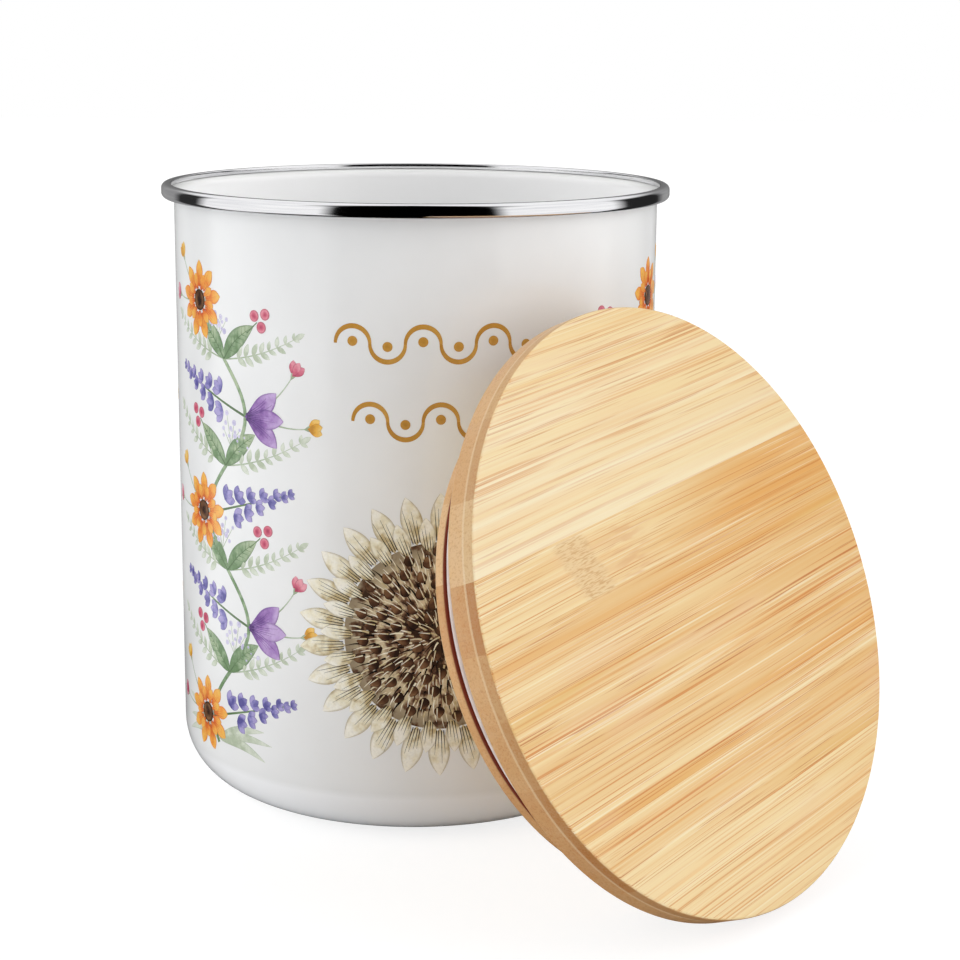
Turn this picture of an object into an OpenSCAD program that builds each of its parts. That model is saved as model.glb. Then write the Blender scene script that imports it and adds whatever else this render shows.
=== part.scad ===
// Round enamelled kitchen tin with a laminated bamboo lid, the lid taken off and leaning on the wall.
// Millimetres. The origin is the centre of the tin's base, on the surface that it stands on. +Z is up
// and -Y is the front.

/* [Tin] */
// Height of the tin, from the surface it stands on to the top of the rim ring
tin_h = 145; // [138:1:175]
// Outer diameter of the straight wall
body_d = 114.2; // [108:0.2:128]
// Thickness of the wall and floor, steel and enamel together
wall_t = 0.8; // [0.6:0.1:1.2]
// Outer radius of the drawn corner between wall and floor
corner_r = 15; // [8:0.5:18]

/* [Lip and rim ring] */
// Radius of the bend that turns the wall out into its lip, on the wall's outer face
lip_bend_r = 1.5; // [1.3:0.1:1.7]
// Flat part of the lip, beyond the bend
lip_flat = 0.6; // [0.3:0.1:0.8]
// How far the rim ring stands out past the wall
ring_overhang = 2.9; // [2.8:0.1:3.4]
// Height of the ring's outer face
ring_h = 3.25; // [3.2:0.05:3.7]
// Thickness of the ring's sheet
ring_t = 0.4; // [0.3:0.05:0.45]
// Width of the ring's top band
ring_band = 2.3; // [2:0.05:2.5]
// Height of the ring's inner skirt, which presses on the lip
ring_skirt_h = 1.2; // [1:0.05:1.3]
// Radius of the ring's rounded outer edges
ring_edge_r = 1.1; // [0.7:0.1:1.4]
// Clearance between pieces that are seated in each other
seat_gap = 0.08; // [0.05:0.01:0.12]

/* [Lid] */
// Diameter of the lid's plate
plate_d = 131; // [126:0.5:138]
// Thickness of the plate
plate_t = 7; // [5:0.5:9]
// Radius of the plate's eased edges
plate_ease = 0.6; // [0.3:0.1:1.5]
// Clearance between the plug's flange and the tin's wall when the lid is on
plug_gap = 0.3; // [0.2:0.05:0.8]
// Depth of the groove that the seal sits in
groove_depth = 2.6; // [2.2:0.1:4]
// Width of the groove, from the plate to the flange
groove_w = 11; // [9.5:0.5:14]
// Thickness of the flange below the groove
flange_t = 3; // [2.8:0.2:5]
// Radius of the flange's eased lower edge
flange_ease = 1.2; // [0.4:0.1:1.4]

/* [Seal] */
// Width of the seal along the groove
seal_w = 7; // [5:0.5:7.5]
// Distance from the plate's underside to the seal
seal_drop = 1.3; // [0.5:0.1:2]
// Thickness of the seal's band, under its fins
seal_t = 1.6; // [1.2:0.1:1.8]
// Thickness of each fin
fin_t = 1.1; // [0.8:0.1:1.3]
// Number of fins
fin_count = 3; // [2:1:3]
// How far the fins reach past the mouth's wall before the lid is pushed in
fin_squeeze = 1.7; // [0.8:0.1:2]

/* [Leaning lid] */
// Heading of the lid's top face around the tin, from the front towards +X, in degrees
lean_heading = 47.3; // [30:0.1:60]
// How far the lid's top face looks up, in degrees
lean_angle = 22.5; // [15:0.5:30]
// How far the lid's centre lies to one side of its heading
lean_shift = -18.5; // [-25:0.5:0]
// Gap between the lid and the tin's wall
lean_gap = 0.2; // [0.1:0.05:0.4]

/* [Garlands] */
// Thickness of the fired-on print
print_t = 0.12; // [0.06:0.02:0.2]
// Bare band between the drawn corner and the lowest print
print_rise = 2; // [1:0.5:4]
// Bare band between the highest print and the rim ring
print_drop = 15; // [12:0.5:18]
// Distance around the wall from the front to the middle of the print
print_shift = 5.37; // [0:0.01:8]
// Bare band between the flower head and the bells of the garlands beside it
garland_gap = 3.5; // [3:0.1:6]
// How far a garland's stem sways to either side
sway = 7; // [4:0.5:8]
// Width of a garland's stem
stem_w = 1; // [0.6:0.1:1.4]
// Width of the stalk of a spike
stalk_w = 0.7; // [0.4:0.1:1]
// Distance from the stem to a flower's centre
flower_off = 3; // [1:0.5:4]
// Radius of a daisy
daisy_r = 9; // [7:0.5:9.5]
// Radius of a daisy's eye
eye_r = 2.4; // [1.8:0.1:2.8]
// Number of petals on a daisy
daisy_petals = 9; // [6:1:10]
// Length of a bell flower's petals
bell_l = 11; // [8:0.5:12]
// Length of a leaf
leaf_l = 13; // [9:0.5:14]
// Radius of a berry
berry_r = 1.3; // [0.8:0.1:1.5]
// Length of a spike of florets
spike_l = 28; // [22:0.5:28]
// Number of florets on a spike
florets = 11; // [7:2:13]
// Radius of the largest florets
floret_r = 1.9; // [1.2:0.1:2]

/* [Flower head at the front] */
// Bare band between the flower head and the scrolls above it
head_gap = 11.35; // [10:0.05:14]
// Length of its petals
head_petal_l = 11; // [8:0.5:12]
// Number of its petals
head_petals = 26; // [18:1:28]
// Number of seeds on it
seeds = 90; // [50:5:100]

/* [Scrolls] */
// Distance from the rim ring's underside to the middle of the upper row
scroll_drop = 27; // [25:0.5:28]
// Distance between the two rows
scroll_pitch = 17; // [15:0.5:18]
// Outer radius of a scroll
scroll_r = 4.4; // [3:0.1:4.6]
// Width of a scroll's line
scroll_line = 1.1; // [0.7:0.1:1.3]
// Number of scrolls in the upper row; the lower row has one less
scroll_count = 6; // [3:1:6]

/* [Hidden] */
$fn = 96;

// Tin and its rim ring
body_r = body_d / 2;
mouth_r = body_r - wall_t;
ring_r = body_r + ring_overhang;
ring_low = tin_h - ring_h;
ring_skirt_in = ring_r - ring_band;
lip_r = body_r + lip_bend_r;
lip_top = tin_h - ring_skirt_h - seat_gap;
lip_bend_z = lip_top - wall_t - lip_bend_r;
// The ring's leg ends just short of the bend in the wall beside it
leg_rise = max(0, ring_low + ring_t - lip_bend_z);
ring_leg_in = lip_r - sqrt(lip_bend_r ^ 2 - leg_rise ^ 2) + seat_gap;

// Lid, in its own frame: its top face is at height 0 and faces +Z
plate_r = plate_d / 2;
flange_r = mouth_r - plug_gap;
groove_r = flange_r - groove_depth;
flange_top = -plate_t - groove_w;
lid_low = flange_top - flange_t;

// Seal, in the lid's frame
seal_in = groove_r + seat_gap;
seal_top = -plate_t - seal_drop;
seal_low = seal_top - seal_w;
fin_r = mouth_r + fin_squeeze;

// Where the lid stands: on its plate's lower edge, with its back against the printed wall
lean_wall = body_r + print_t + lean_gap;
// Distance from the tin's axis to the lid's centre along the heading, at which a round edge of
// radius r and easing e, its far side at the depth behind the lid's top face, just clears the wall
function stand_off(r, depth, e) = max([
    for (turn = [0:180])
        let (side = lean_shift + (r - e) * cos(turn), reach = lean_wall + e)
        if (abs(side) < reach) sqrt(reach ^ 2 - side ^ 2) + (r - e) * sin(turn) * sin(lean_angle)
]) + (depth - e) * cos(lean_angle);
// Height of the lid's centre at which that edge just touches the surface below
function stand_up(r, depth, e) = (depth - e) * sin(lean_angle) + (r - e) * cos(lean_angle) + e;
lid_out = max(stand_off(flange_r, -lid_low, flange_ease), stand_off(fin_r, -seal_low, fin_t / 2),
              stand_off(plate_r, plate_t, plate_ease));
lid_up = max(stand_up(flange_r, -lid_low, flange_ease), stand_up(plate_r, plate_t, plate_ease));

// Print
print_low = corner_r + print_rise;
print_top = ring_low - print_drop;
print_gap = 0.5;
// The flower head stands on the lowest print and reaches up towards the scrolls
scroll_z = [for (row = [0, 1]) ring_low - scroll_drop - row * scroll_pitch];
head_reach = (scroll_z[1] - scroll_r - head_gap - print_low) / 2;
head_r = head_reach - print_gap - head_petal_l;
head_z = print_low + head_reach;
// Garlands stand on both sides of the flower head, and evenly around the rest of the wall
garland_arc = head_reach + garland_gap + bell_l + sway;
half_round = PI * body_r;
garland_step = (half_round - garland_arc) / 2;
// A garland has stations up its stem: daisy, leaves, bell, leaves, and so on
stations = 9;
station_h = (print_top - print_low) / stations;
stem_steps = 36;
leaf_lean = 50;
petal_spread = 34;
// Widths of leaves and bell petals, as shares of their lengths
leaf_slim = 0.36;
bell_slim = 0.42;
// Widths of petals, and radius of seeds, as shares of the room that each has
daisy_fill = 0.8;
head_fill = 0.62;
seed_fill = 0.36;
// Berries stand on a small ring around the middle of their bunch
bunch_r = 1.4 * berry_r;
spike_lean = 73;
spike_bare = 9;
floret_shrink = 0.5;
seed_turn = 137.508;

// A solid turned around +Z, from a section drawn with X as the radius and Y as the height
module turned() {
    rotate_extrude() children();
}

// Section of a solid round pot with a rounded lower corner
module pot_section(r, corner, low, high) {
    translate([0, low]) square([r - corner, high - low]);
    translate([0, low + corner]) square([r, high - low - corner]);
    translate([r - corner, low + corner]) circle(corner);
}

// Section of the wall where it bends outwards and ends in the flat lip
module lip_section() {
    bend_out = lip_bend_r + wall_t;
    translate([lip_r, lip_bend_z]) intersection() {
        difference() {
            circle(bend_out);
            circle(lip_bend_r);
        }
        translate([-bend_out, 0]) square(bend_out);
    }
    translate([lip_r, lip_top - wall_t]) square([lip_flat, wall_t]);
}

// One deep-drawn and enamelled piece: floor, rounded corner, straight wall and turned-out lip
module tin_body() {
    color("white") turned() {
        difference() {
            pot_section(body_r, corner_r, 0, lip_bend_z);
            pot_section(mouth_r, corner_r - wall_t, wall_t, tin_h);
        }
        lip_section();
    }
}

// Outline of the rim ring's section, inset by a sheet's thickness for the hollow inside it
module ring_outline(inset) {
    edge = ring_edge_r - inset;
    low = ring_low + inset;
    high = tin_h - inset;
    right = ring_r - inset;
    translate([ring_leg_in, low]) square([right - edge - ring_leg_in, high - low]);
    translate([ring_leg_in, low + edge]) square([right - ring_leg_in, high - low - 2 * edge]);
    for (z = [low + edge, high - edge]) translate([right - edge, z]) circle(edge);
}

// Steel ring rolled around the lip: top band, rounded face, leg under the lip and inner skirt
module rim_ring() {
    open_low = ring_low + ring_t;
    color("silver") turned() difference() {
        ring_outline(0);
        intersection() {
            ring_outline(ring_t);
            translate([ring_skirt_in + ring_t, ring_low]) square([ring_band, ring_h]);
        }
        // Slot that the lip comes in through, below the skirt
        translate([ring_leg_in - ring_t, open_low])
            square([ring_skirt_in - ring_leg_in + 3 * ring_t, tin_h - ring_skirt_h - open_low]);
        // Space inside the skirt
        translate([ring_leg_in - ring_t, open_low])
            square([ring_skirt_in - ring_leg_in + ring_t, ring_h]);
    }
}

// Section of a disc around the axis, with the outer edges at its top and bottom eased
module disc_section(r, low, high, top_ease, low_ease) {
    step = max(top_ease, low_ease);
    translate([0, low]) square([r - step, high - low]);
    translate([r - 2 * step, low + low_ease]) square([2 * step, high - low - low_ease - top_ease]);
    translate([r - low_ease, low + low_ease]) circle(low_ease);
    translate([r - top_ease, high - top_ease]) circle(top_ease);
}

// Carries what is drawn in the lid's frame to where the lid leans
module leaning() {
    rotate([0, 0, lean_heading]) translate([lean_shift, -lid_out, lid_up])
        rotate([90 - lean_angle, 0, 0]) children();
}

// One turned piece of laminated bamboo: plate, groove for the seal and flange of the plug
module bamboo_lid() {
    color("burlywood") leaning() turned() {
        disc_section(plate_r, -plate_t, 0, plate_ease, plate_ease);
        translate([0, flange_top]) square([groove_r, groove_w]);
        disc_section(flange_r, lid_low, flange_top, flange_ease / 2, flange_ease);
    }
}

// Soft seal stretched into the lid's groove: a band with fins that bend against the mouth
module lid_seal() {
    fin_pitch = (seal_w - fin_t) / (fin_count - 1);
    color("mistyrose") leaning() turned() {
        translate([seal_in, seal_low]) square([seal_t, seal_w]);
        for (i = [0:fin_count - 1]) translate([seal_in, seal_low + i * fin_pitch]) {
            square([fin_r - seal_in - fin_t / 2, fin_t]);
            translate([fin_r - seal_in - fin_t / 2, fin_t / 2]) circle(fin_t / 2);
        }
    }
}

// Keeps only the thin layer of what is drawn through it that lies on the wall
module printed() {
    intersection() {
        union() children();
        translate([0, 0, print_low]) difference() {
            cylinder(h = print_top - print_low, r = body_r + print_t);
            translate([0, 0, -1]) cylinder(h = print_top - print_low + 2, r = body_r);
        }
    }
}

// Drives a flat shape through the wall, at a distance around it from the print's middle and at a height
module on_wall(arc, z) {
    depth = 10;
    rotate([0, 0, (arc + print_shift) / body_r * 180 / PI]) translate([0, depth - body_r, z]) rotate([90, 0, 0])
        linear_extrude(depth + 2 * print_t) children();
}

// The same drawing on the middle line of each garland, mirrored to the left of the front
module on_garlands() {
    for (k = [0:2]) on_wall(garland_arc + k * garland_step, print_low) children();
    for (k = [0:1]) on_wall(-garland_arc - k * garland_step, print_low) mirror([1, 0]) children();
}

// Pointed oval from the origin up the Y axis, between two arcs
module petal(l, w) {
    r = (l ^ 2 / w + w) / 4;
    intersection_for (side = [-1, 1]) translate([side * (r - w / 2), l / 2]) circle(r);
}

// Where a station of a garland stands, and how far the stem has swayed there
function station_y(i) = (i + 0.5) * station_h;
function stem_x(y) = sway * cos(90 * (y / station_h - 0.5));
// Daisies stand out to one side of the stem and bells to the other
function flower_side(i) = i % 4 == 0 ? 1 : -1;
function flower_x(i) = stem_x(station_y(i)) + flower_side(i) * flower_off;

// Stem and leaves of a garland, left bare where its flowers go
module garland_leaves() {
    ys = [for (k = [0:stem_steps]) k / stem_steps * (print_top - print_low)];
    difference() {
        union() {
            polygon(concat(
                [for (y = ys) [stem_x(y) - stem_w / 2, y]],
                [for (k = [stem_steps:-1:0]) [stem_x(ys[k]) + stem_w / 2, ys[k]]]
            ));
            for (i = [1:2:stations - 1], side = [-1, 1])
                translate([stem_x(station_y(i)), station_y(i)]) rotate(side * leaf_lean)
                    petal(leaf_l, leaf_l * leaf_slim);
            on_spikes() translate([-stalk_w / 2, 0])
                square([stalk_w, spike_bare - floret_r - print_gap]);
        }
        for (i = [0:4:stations - 1])
            translate([flower_x(i), station_y(i)]) circle(daisy_r + print_gap);
        for (i = [2:4:stations - 1])
            translate([flower_x(i) - bell_l / 2 + flower_off, station_y(i)])
                circle(bell_l / 2 + print_gap);
    }
}

// Green stems and leaves
module print_leaves() {
    color("darkseagreen") printed() on_garlands() garland_leaves();
}

// Orange petals of the daisies
module print_daisies() {
    petal_l = daisy_r - eye_r - print_gap;
    petal_w = PI * (daisy_r + eye_r) / daisy_petals * daisy_fill;
    color("sandybrown") printed() on_garlands()
        for (i = [0:4:stations - 1], k = [0:daisy_petals - 1])
            translate([flower_x(i), station_y(i)]) rotate(360 * k / daisy_petals)
                translate([0, eye_r + print_gap]) petal(petal_l, petal_w);
}

// Violet bell flowers, three petals each
module print_bells() {
    color("mediumpurple") printed() on_garlands()
        for (i = [2:4:stations - 1], k = [-1:1])
            translate([flower_x(i) + flower_off, station_y(i)])
                rotate(90 + k * petal_spread) petal(bell_l, bell_l * bell_slim);
}

// Pink berries, three past the tip of the leaf that no flower covers
module print_berries() {
    color("palevioletred") printed() on_garlands()
        for (i = [1:2:stations - 1], k = [0:2])
            translate([stem_x(station_y(i)), station_y(i)]) rotate(flower_side(i + 1) * leaf_lean)
                translate([0, leaf_l + 2 * berry_r]) rotate(120 * k) translate([0, bunch_r])
                    circle(berry_r);
}

// The same drawing on each spike, which runs along +Y from the stem outwards
module on_spikes() {
    for (i = [0:2:stations - 2]) translate([stem_x(station_y(i)), station_y(i)])
        rotate(flower_side(i) * spike_lean) children();
}

// Blue florets in two rows along each spike, smaller towards its tip
module print_spikes() {
    color("slateblue") printed() on_garlands() on_spikes()
        for (k = [0:florets - 1])
            let (along = k / (florets - 1), r = floret_r * (1 - floret_shrink * along))
                translate([(k % 2 == 0 ? 1 : -1) * (1 - along) * (floret_r + print_gap / 2),
                           spike_bare + along * (spike_l - spike_bare)]) circle(r);
}

// Brown seeds of the flower head, spread by the golden angle, and the daisies' eyes
module print_seeds() {
    seed_r = seed_fill * head_r * sqrt(PI / seeds);
    color("saddlebrown") {
        printed() on_garlands()
            for (i = [0:4:stations - 1]) translate([flower_x(i), station_y(i)]) circle(eye_r);
        printed() for (k = [0:seeds - 1])
            let (out = (head_r - seed_r) * sqrt((k + 0.5) / seeds))
                on_wall(out * sin(k * seed_turn), head_z + out * cos(k * seed_turn)) circle(seed_r);
    }
}

// Cream petals around the flower head
module print_head_petals() {
    petal_w = 2 * PI * head_reach / head_petals * head_fill;
    start = head_r + print_gap;
    color("cornsilk") printed() for (k = [0:head_petals - 1])
        let (turn = 360 * k / head_petals)
            on_wall(start * sin(turn), head_z + start * cos(turn)) rotate(-turn)
                petal(head_petal_l, petal_w);
}

// A running row of half rings with a dot in each
module scroll_row(count) {
    pitch = 2 * scroll_r - scroll_line;
    for (k = [0:count - 1]) {
        up = k % 2 == 0 ? 1 : -1;
        x = (k - (count - 1) / 2) * pitch;
        translate([x, 0]) intersection() {
            difference() {
                circle(scroll_r);
                circle(scroll_r - scroll_line);
            }
            translate([-scroll_r, up > 0 ? 0 : -scroll_r]) square([2 * scroll_r, scroll_r]);
        }
        translate([x, up * scroll_line / 2]) circle(scroll_line);
    }
}

// Gold scrolls in two rows at the front
module print_scrolls() {
    color("goldenrod") printed() for (row = [0, 1])
        on_wall(0, scroll_z[row]) scroll_row(scroll_count - row);
}

tin_body();
rim_ring();
bamboo_lid();
lid_seal();
print_leaves();
print_daisies();
print_bells();
print_spikes();
print_berries();
print_seeds();
print_head_petals();
print_scrolls();
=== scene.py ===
"""Looks of a round enamelled storage tin, its bamboo lid taken off and leaning on its wall."""

import logging
import math
import random
from dataclasses import dataclass, field
from enum import Enum
from functools import partial
from typing import Any, Callable, Iterator, Sequence

import bmesh
import bpy
from mathutils import Matrix, Vector


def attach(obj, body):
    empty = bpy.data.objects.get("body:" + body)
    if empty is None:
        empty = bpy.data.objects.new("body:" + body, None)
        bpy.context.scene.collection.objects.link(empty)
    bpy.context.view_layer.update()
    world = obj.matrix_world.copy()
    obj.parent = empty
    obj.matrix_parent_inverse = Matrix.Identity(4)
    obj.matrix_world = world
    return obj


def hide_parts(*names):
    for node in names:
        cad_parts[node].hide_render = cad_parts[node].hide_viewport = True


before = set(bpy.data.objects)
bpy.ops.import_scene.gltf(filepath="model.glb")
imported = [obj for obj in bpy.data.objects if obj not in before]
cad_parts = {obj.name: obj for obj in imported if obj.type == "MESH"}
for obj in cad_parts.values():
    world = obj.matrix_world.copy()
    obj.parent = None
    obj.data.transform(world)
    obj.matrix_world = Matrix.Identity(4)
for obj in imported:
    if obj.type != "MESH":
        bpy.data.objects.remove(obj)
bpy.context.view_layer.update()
LOG = logging.getLogger("storage_tin")

MM = 0.001
BODY = "root"
SHARP_DEG = 40.0
PRINT_SHARP_DEG = 60.0
WHITE = 1.0

Node = bpy.types.Node
Socket = bpy.types.NodeSocket
Material = bpy.types.Material
Piece = bpy.types.Object
Colour = tuple[float, float, float, float]
Point = tuple[float, float]
Point3 = tuple[float, float, float]
Inputs = dict[str | int, Any] | Sequence[Any]
AddNode = Callable[..., Node]


def linear(hex_colour: str) -> Colour:
    """Turns an sRGB hex colour into linear light.

    Args:
        hex_colour: colour written as "#RRGGBB".

    Returns:
        Red, green, blue and an alpha of 1.
    """
    channels = [int(hex_colour[i:i + 2], 16) / 255 for i in (1, 3, 5)]
    light = [c / 12.92 if c <= 0.04045 else ((c + 0.055) / 1.055) ** 2.4 for c in channels]
    return light[0], light[1], light[2], 1.0


def grey(level: float) -> Colour:
    """A grey of a level of linear light."""
    return level, level, level, 1.0


def add_node(tree: bpy.types.NodeTree, kind: str, inputs: Inputs = (),
             stops: Sequence[tuple[float, str | float]] = (), **settings: Any) -> Node:
    """Adds a node to a tree, with its settings and its inputs.

    Args:
        tree: node tree that the node goes into.
        kind: the node's class name, without "ShaderNode".
        inputs: input sockets in their order, or by name or number. A node or an output socket
            is linked, the node by its first output, and any other value is set on the socket.
        stops: position of each stop of a colour ramp, from low to high, with its sRGB hex
            colour or its linear grey level.
        settings: attributes of the node.

    Returns:
        The new node.
    """
    node = tree.nodes.new("ShaderNode" + kind)
    for name, value in settings.items():
        setattr(node, name, value)
    if stops:
        elements = node.color_ramp.elements
        elements.remove(elements[1])
        for number, (position, colour) in enumerate(stops):
            stop = elements.new(position) if number else elements[0]
            stop.color = linear(colour) if isinstance(colour, str) else grey(colour)
            stop.position = position
    for socket, value in inputs.items() if isinstance(inputs, dict) else enumerate(inputs):
        if isinstance(value, Node):
            value = value.outputs[0]
        if isinstance(value, Socket):
            tree.links.new(value, node.inputs[socket])
        else:
            node.inputs[socket].default_value = value
    return node


def fresh_tree(owner: Material | bpy.types.World) -> AddNode:
    """Empties the node tree of a material or the world.

    Args:
        owner: what the tree belongs to.

    Returns:
        The function that adds a node to the tree.
    """
    owner.use_nodes = True
    owner.node_tree.nodes.clear()
    return partial(add_node, owner.node_tree)


# Profiles and meshes

def outlined(*runs: Sequence[float]) -> list[Point]:
    """Joins corners and arcs into one outline, in millimetres.

    Args:
        runs: a corner as radius and height, or an arc as radius and height of its middle, its
            own radius, its first and last angle in degrees, and its number of steps.

    Returns:
        The outline's corners.
    """
    outline: list[Point] = []
    for x, y, *arc in runs:
        if not arc:
            outline.append((x, y))
            continue
        radius, start, end, steps = arc
        for i in range(steps + 1):
            turn = math.radians(start + (end - start) * i / steps)
            outline.append((x + radius * math.cos(turn), y + radius * math.sin(turn)))
    return outline


def finish_mesh(name: str, points: Sequence[Point3], faces: Sequence[Sequence[int]],
                sharp_deg: float) -> Piece:
    """Makes an object of points in millimetres, with its faces turned outwards.

    Args:
        name: name of the object and its mesh.
        points: corners, in millimetres.
        faces: corner numbers of each face.
        sharp_deg: edges that bend more than this many degrees stay sharp.

    Returns:
        The object, linked to the scene.
    """
    mesh = bpy.data.meshes.new(name)
    mesh.from_pydata([tuple(c * MM for c in p) for p in points], [], faces)
    work = bmesh.new()
    work.from_mesh(mesh)
    bmesh.ops.recalc_face_normals(work, faces=work.faces)
    work.to_mesh(mesh)
    work.free()
    mesh.polygons.foreach_set("use_smooth", [True] * len(mesh.polygons))
    mesh.set_sharp_from_angle(angle=math.radians(sharp_deg))
    made = bpy.data.objects.new(name, mesh)
    bpy.context.scene.collection.objects.link(made)
    return made


def turned(name: str, outline: Sequence[Point], segments: int) -> Piece:
    """Turns a closed outline around the Z axis.

    Args:
        name: name of the object.
        outline: its corners. A corner on the axis becomes one point.
        segments: number of steps around.

    Returns:
        The closed solid.
    """
    points: list[Point3] = []
    rings: list[list[int]] = []
    for radius, height in outline:
        steps = segments if radius > 0 else 1
        rings.append(list(range(len(points), len(points) + steps)))
        for i in range(steps):
            turn = 2 * math.pi * i / segments
            points.append((radius * math.cos(turn), radius * math.sin(turn), height))
    faces = []
    for low, high in zip(rings, rings[1:] + rings[:1]):
        if len(low) == len(high) == 1:
            continue
        for i in range(segments):
            k = (i + 1) % segments
            corners = [low[i % len(low)], low[k % len(low)], high[k % len(high)], high[i % len(high)]]
            faces.append(list(dict.fromkeys(corners)))
    return finish_mesh(name, points, faces, SHARP_DEG)


def settle(piece: Piece, material: Material, slot: str, *nodes: str) -> None:
    """Gives a piece its material, its body and the solids that it stands for.

    Args:
        piece: the piece, already in place.
        material: its material.
        slot: not used.
        nodes: names of the solids that it replaces.
    """
    piece.data.materials.clear()
    piece.data.materials.append(material)
    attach(piece, BODY)
    if nodes:
        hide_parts(*nodes)
    LOG.info("%s: %d faces, %s", piece.name, len(piece.data.polygons), material.name)


# Finishes

@dataclass(frozen=True)
class Clouded:
    """A finish of two close tones that change in soft clouds, as its gloss does."""

    name: str
    dark: str
    light: str
    cloud_mm: Point3
    detail: float
    cut: Point
    roughness: Point
    ior: float = 1.5
    metallic: float = 0.0

    def material(self) -> Material:
        """Builds the finish's material.

        Returns:
            The material.
        """
        material = bpy.data.materials.new(self.name)
        add = fresh_tree(material)
        place = add("TexCoord").outputs["Object"]
        sized = add("Mapping", {"Vector": place, "Scale": tuple(1 / (size * MM) for size in self.cloud_mm)})
        cloud = add("TexNoise", {"Vector": sized, "Scale": 1.0, "Detail": self.detail})
        tone = add("ValToRGB", {"Fac": cloud}, tuple(zip(self.cut, (self.dark, self.light))))
        rough = add("MapRange", {
            "Value": cloud, "To Min": self.roughness[0], "To Max": self.roughness[1]})
        add("OutputMaterial", {"Surface": add("BsdfPrincipled", {
            "Base Color": tone, "Roughness": rough, "IOR": self.ior, "Metallic": self.metallic,
            **self.over(add, place, tone)})})
        return material

    def over(self, add: AddNode, place: Socket, tone: Node) -> dict[str, Any]:
        """What lies over the clouds, as inputs of the shader: nothing here."""
        return {}


@dataclass(frozen=True)
class VitreousEnamel(Clouded):
    """Glass fused onto sheet steel: glossy, white, with the faint waviness of a dipped coat."""

    name: str = "vitreous_enamel"
    dark: str = "#F1F1F0"
    light: str = "#F6F6F5"
    cloud_mm: Point3 = (22.0, 22.0, 22.0)
    detail: float = 3.0
    cut: Point = (0.3, 0.7)
    roughness: Point = (0.104, 0.156)
    ior: float = 1.52
    # Inside, where nothing is printed, the enamel is painted near white: painted light that brightens the
    # inside of the tin
    inner: str = "#FEFEFE"
    painted_light_r: Point = (56.5, 56.9)
    wave_mm: float = 9.0
    wave_depth_mm: float = 0.004

    def over(self, add: AddNode, place: Socket, tone: Node) -> dict[str, Any]:
        """Lays the painted light of the inside over the clouds, and makes the surface wave.

        Args:
            add: adds a node to the material.
            place: place in the frame.
            tone: colour of the clouds.

        Returns:
            Inputs of the shader.
        """
        flat = add("VectorMath", (place, (1.0, 1.0, 0.0)), operation="MULTIPLY")
        reach = add("VectorMath", (flat,), operation="LENGTH").outputs["Value"]
        inside = add("MapRange", {
            "Value": reach, "From Min": self.painted_light_r[0] * MM, "From Max": self.painted_light_r[1] * MM,
            "To Min": 1.0, "To Max": 0.0})
        # Painted light: the inside is lifted to near white
        coat = add("Mix", {0: inside, 6: tone, 7: linear(self.inner)}, data_type="RGBA").outputs[2]
        wave = add("TexNoise", {"Vector": place, "Scale": 1 / (self.wave_mm * MM), "Detail": 1.0})
        bump = add("Bump", {"Height": wave, "Distance": self.wave_depth_mm * MM, "Strength": 1.0})
        return {"Base Color": coat, "Normal": bump}


@dataclass(frozen=True)
class PolishedSteel(Clouded):
    """Rolled and polished stainless steel: a mirror whose marks run around, close in height only."""

    name: str = "polished_stainless_steel"
    dark: str = "#E4E4E7"
    light: str = "#F3F3F4"
    cloud_mm: Point3 = (25.0, 25.0, 0.5)
    detail: float = 2.0
    cut: Point = (0.35, 0.65)
    roughness: Point = (0.049, 0.091)
    metallic: float = 1.0


@dataclass(frozen=True)
class MouldedSilicone(Clouded):
    """Soft moulded silicone: milky, with a satin bloom that catches dust."""

    name: str = "moulded_silicone"
    dark: str = "#D5C6C1"
    light: str = "#E3D8D4"
    cloud_mm: Point3 = (3.0, 3.0, 3.0)
    detail: float = 4.0
    cut: Point = (0.35, 0.65)
    roughness: Point = (0.48, 0.62)
    ior: float = 1.41


@dataclass(frozen=True)
class Marks:
    """Straight marks along the bamboo's fibres, in millimetres, and the noise levels that cut them."""

    long: float
    wide: float
    cut: Point = (0.42, 0.6)
    strength: float = 1.0
    colour: str = ""


@dataclass(frozen=True)
class BoardPlace:
    """Where a point is in the board, as nodes of its material, in millimetres."""

    add: AddNode
    level: Node
    facing: Node
    grain: Node
    along: Socket
    across: Socket
    depth: Socket
    strip: Node
    end: Node
    under_face: Node
    fibre: Node


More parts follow.
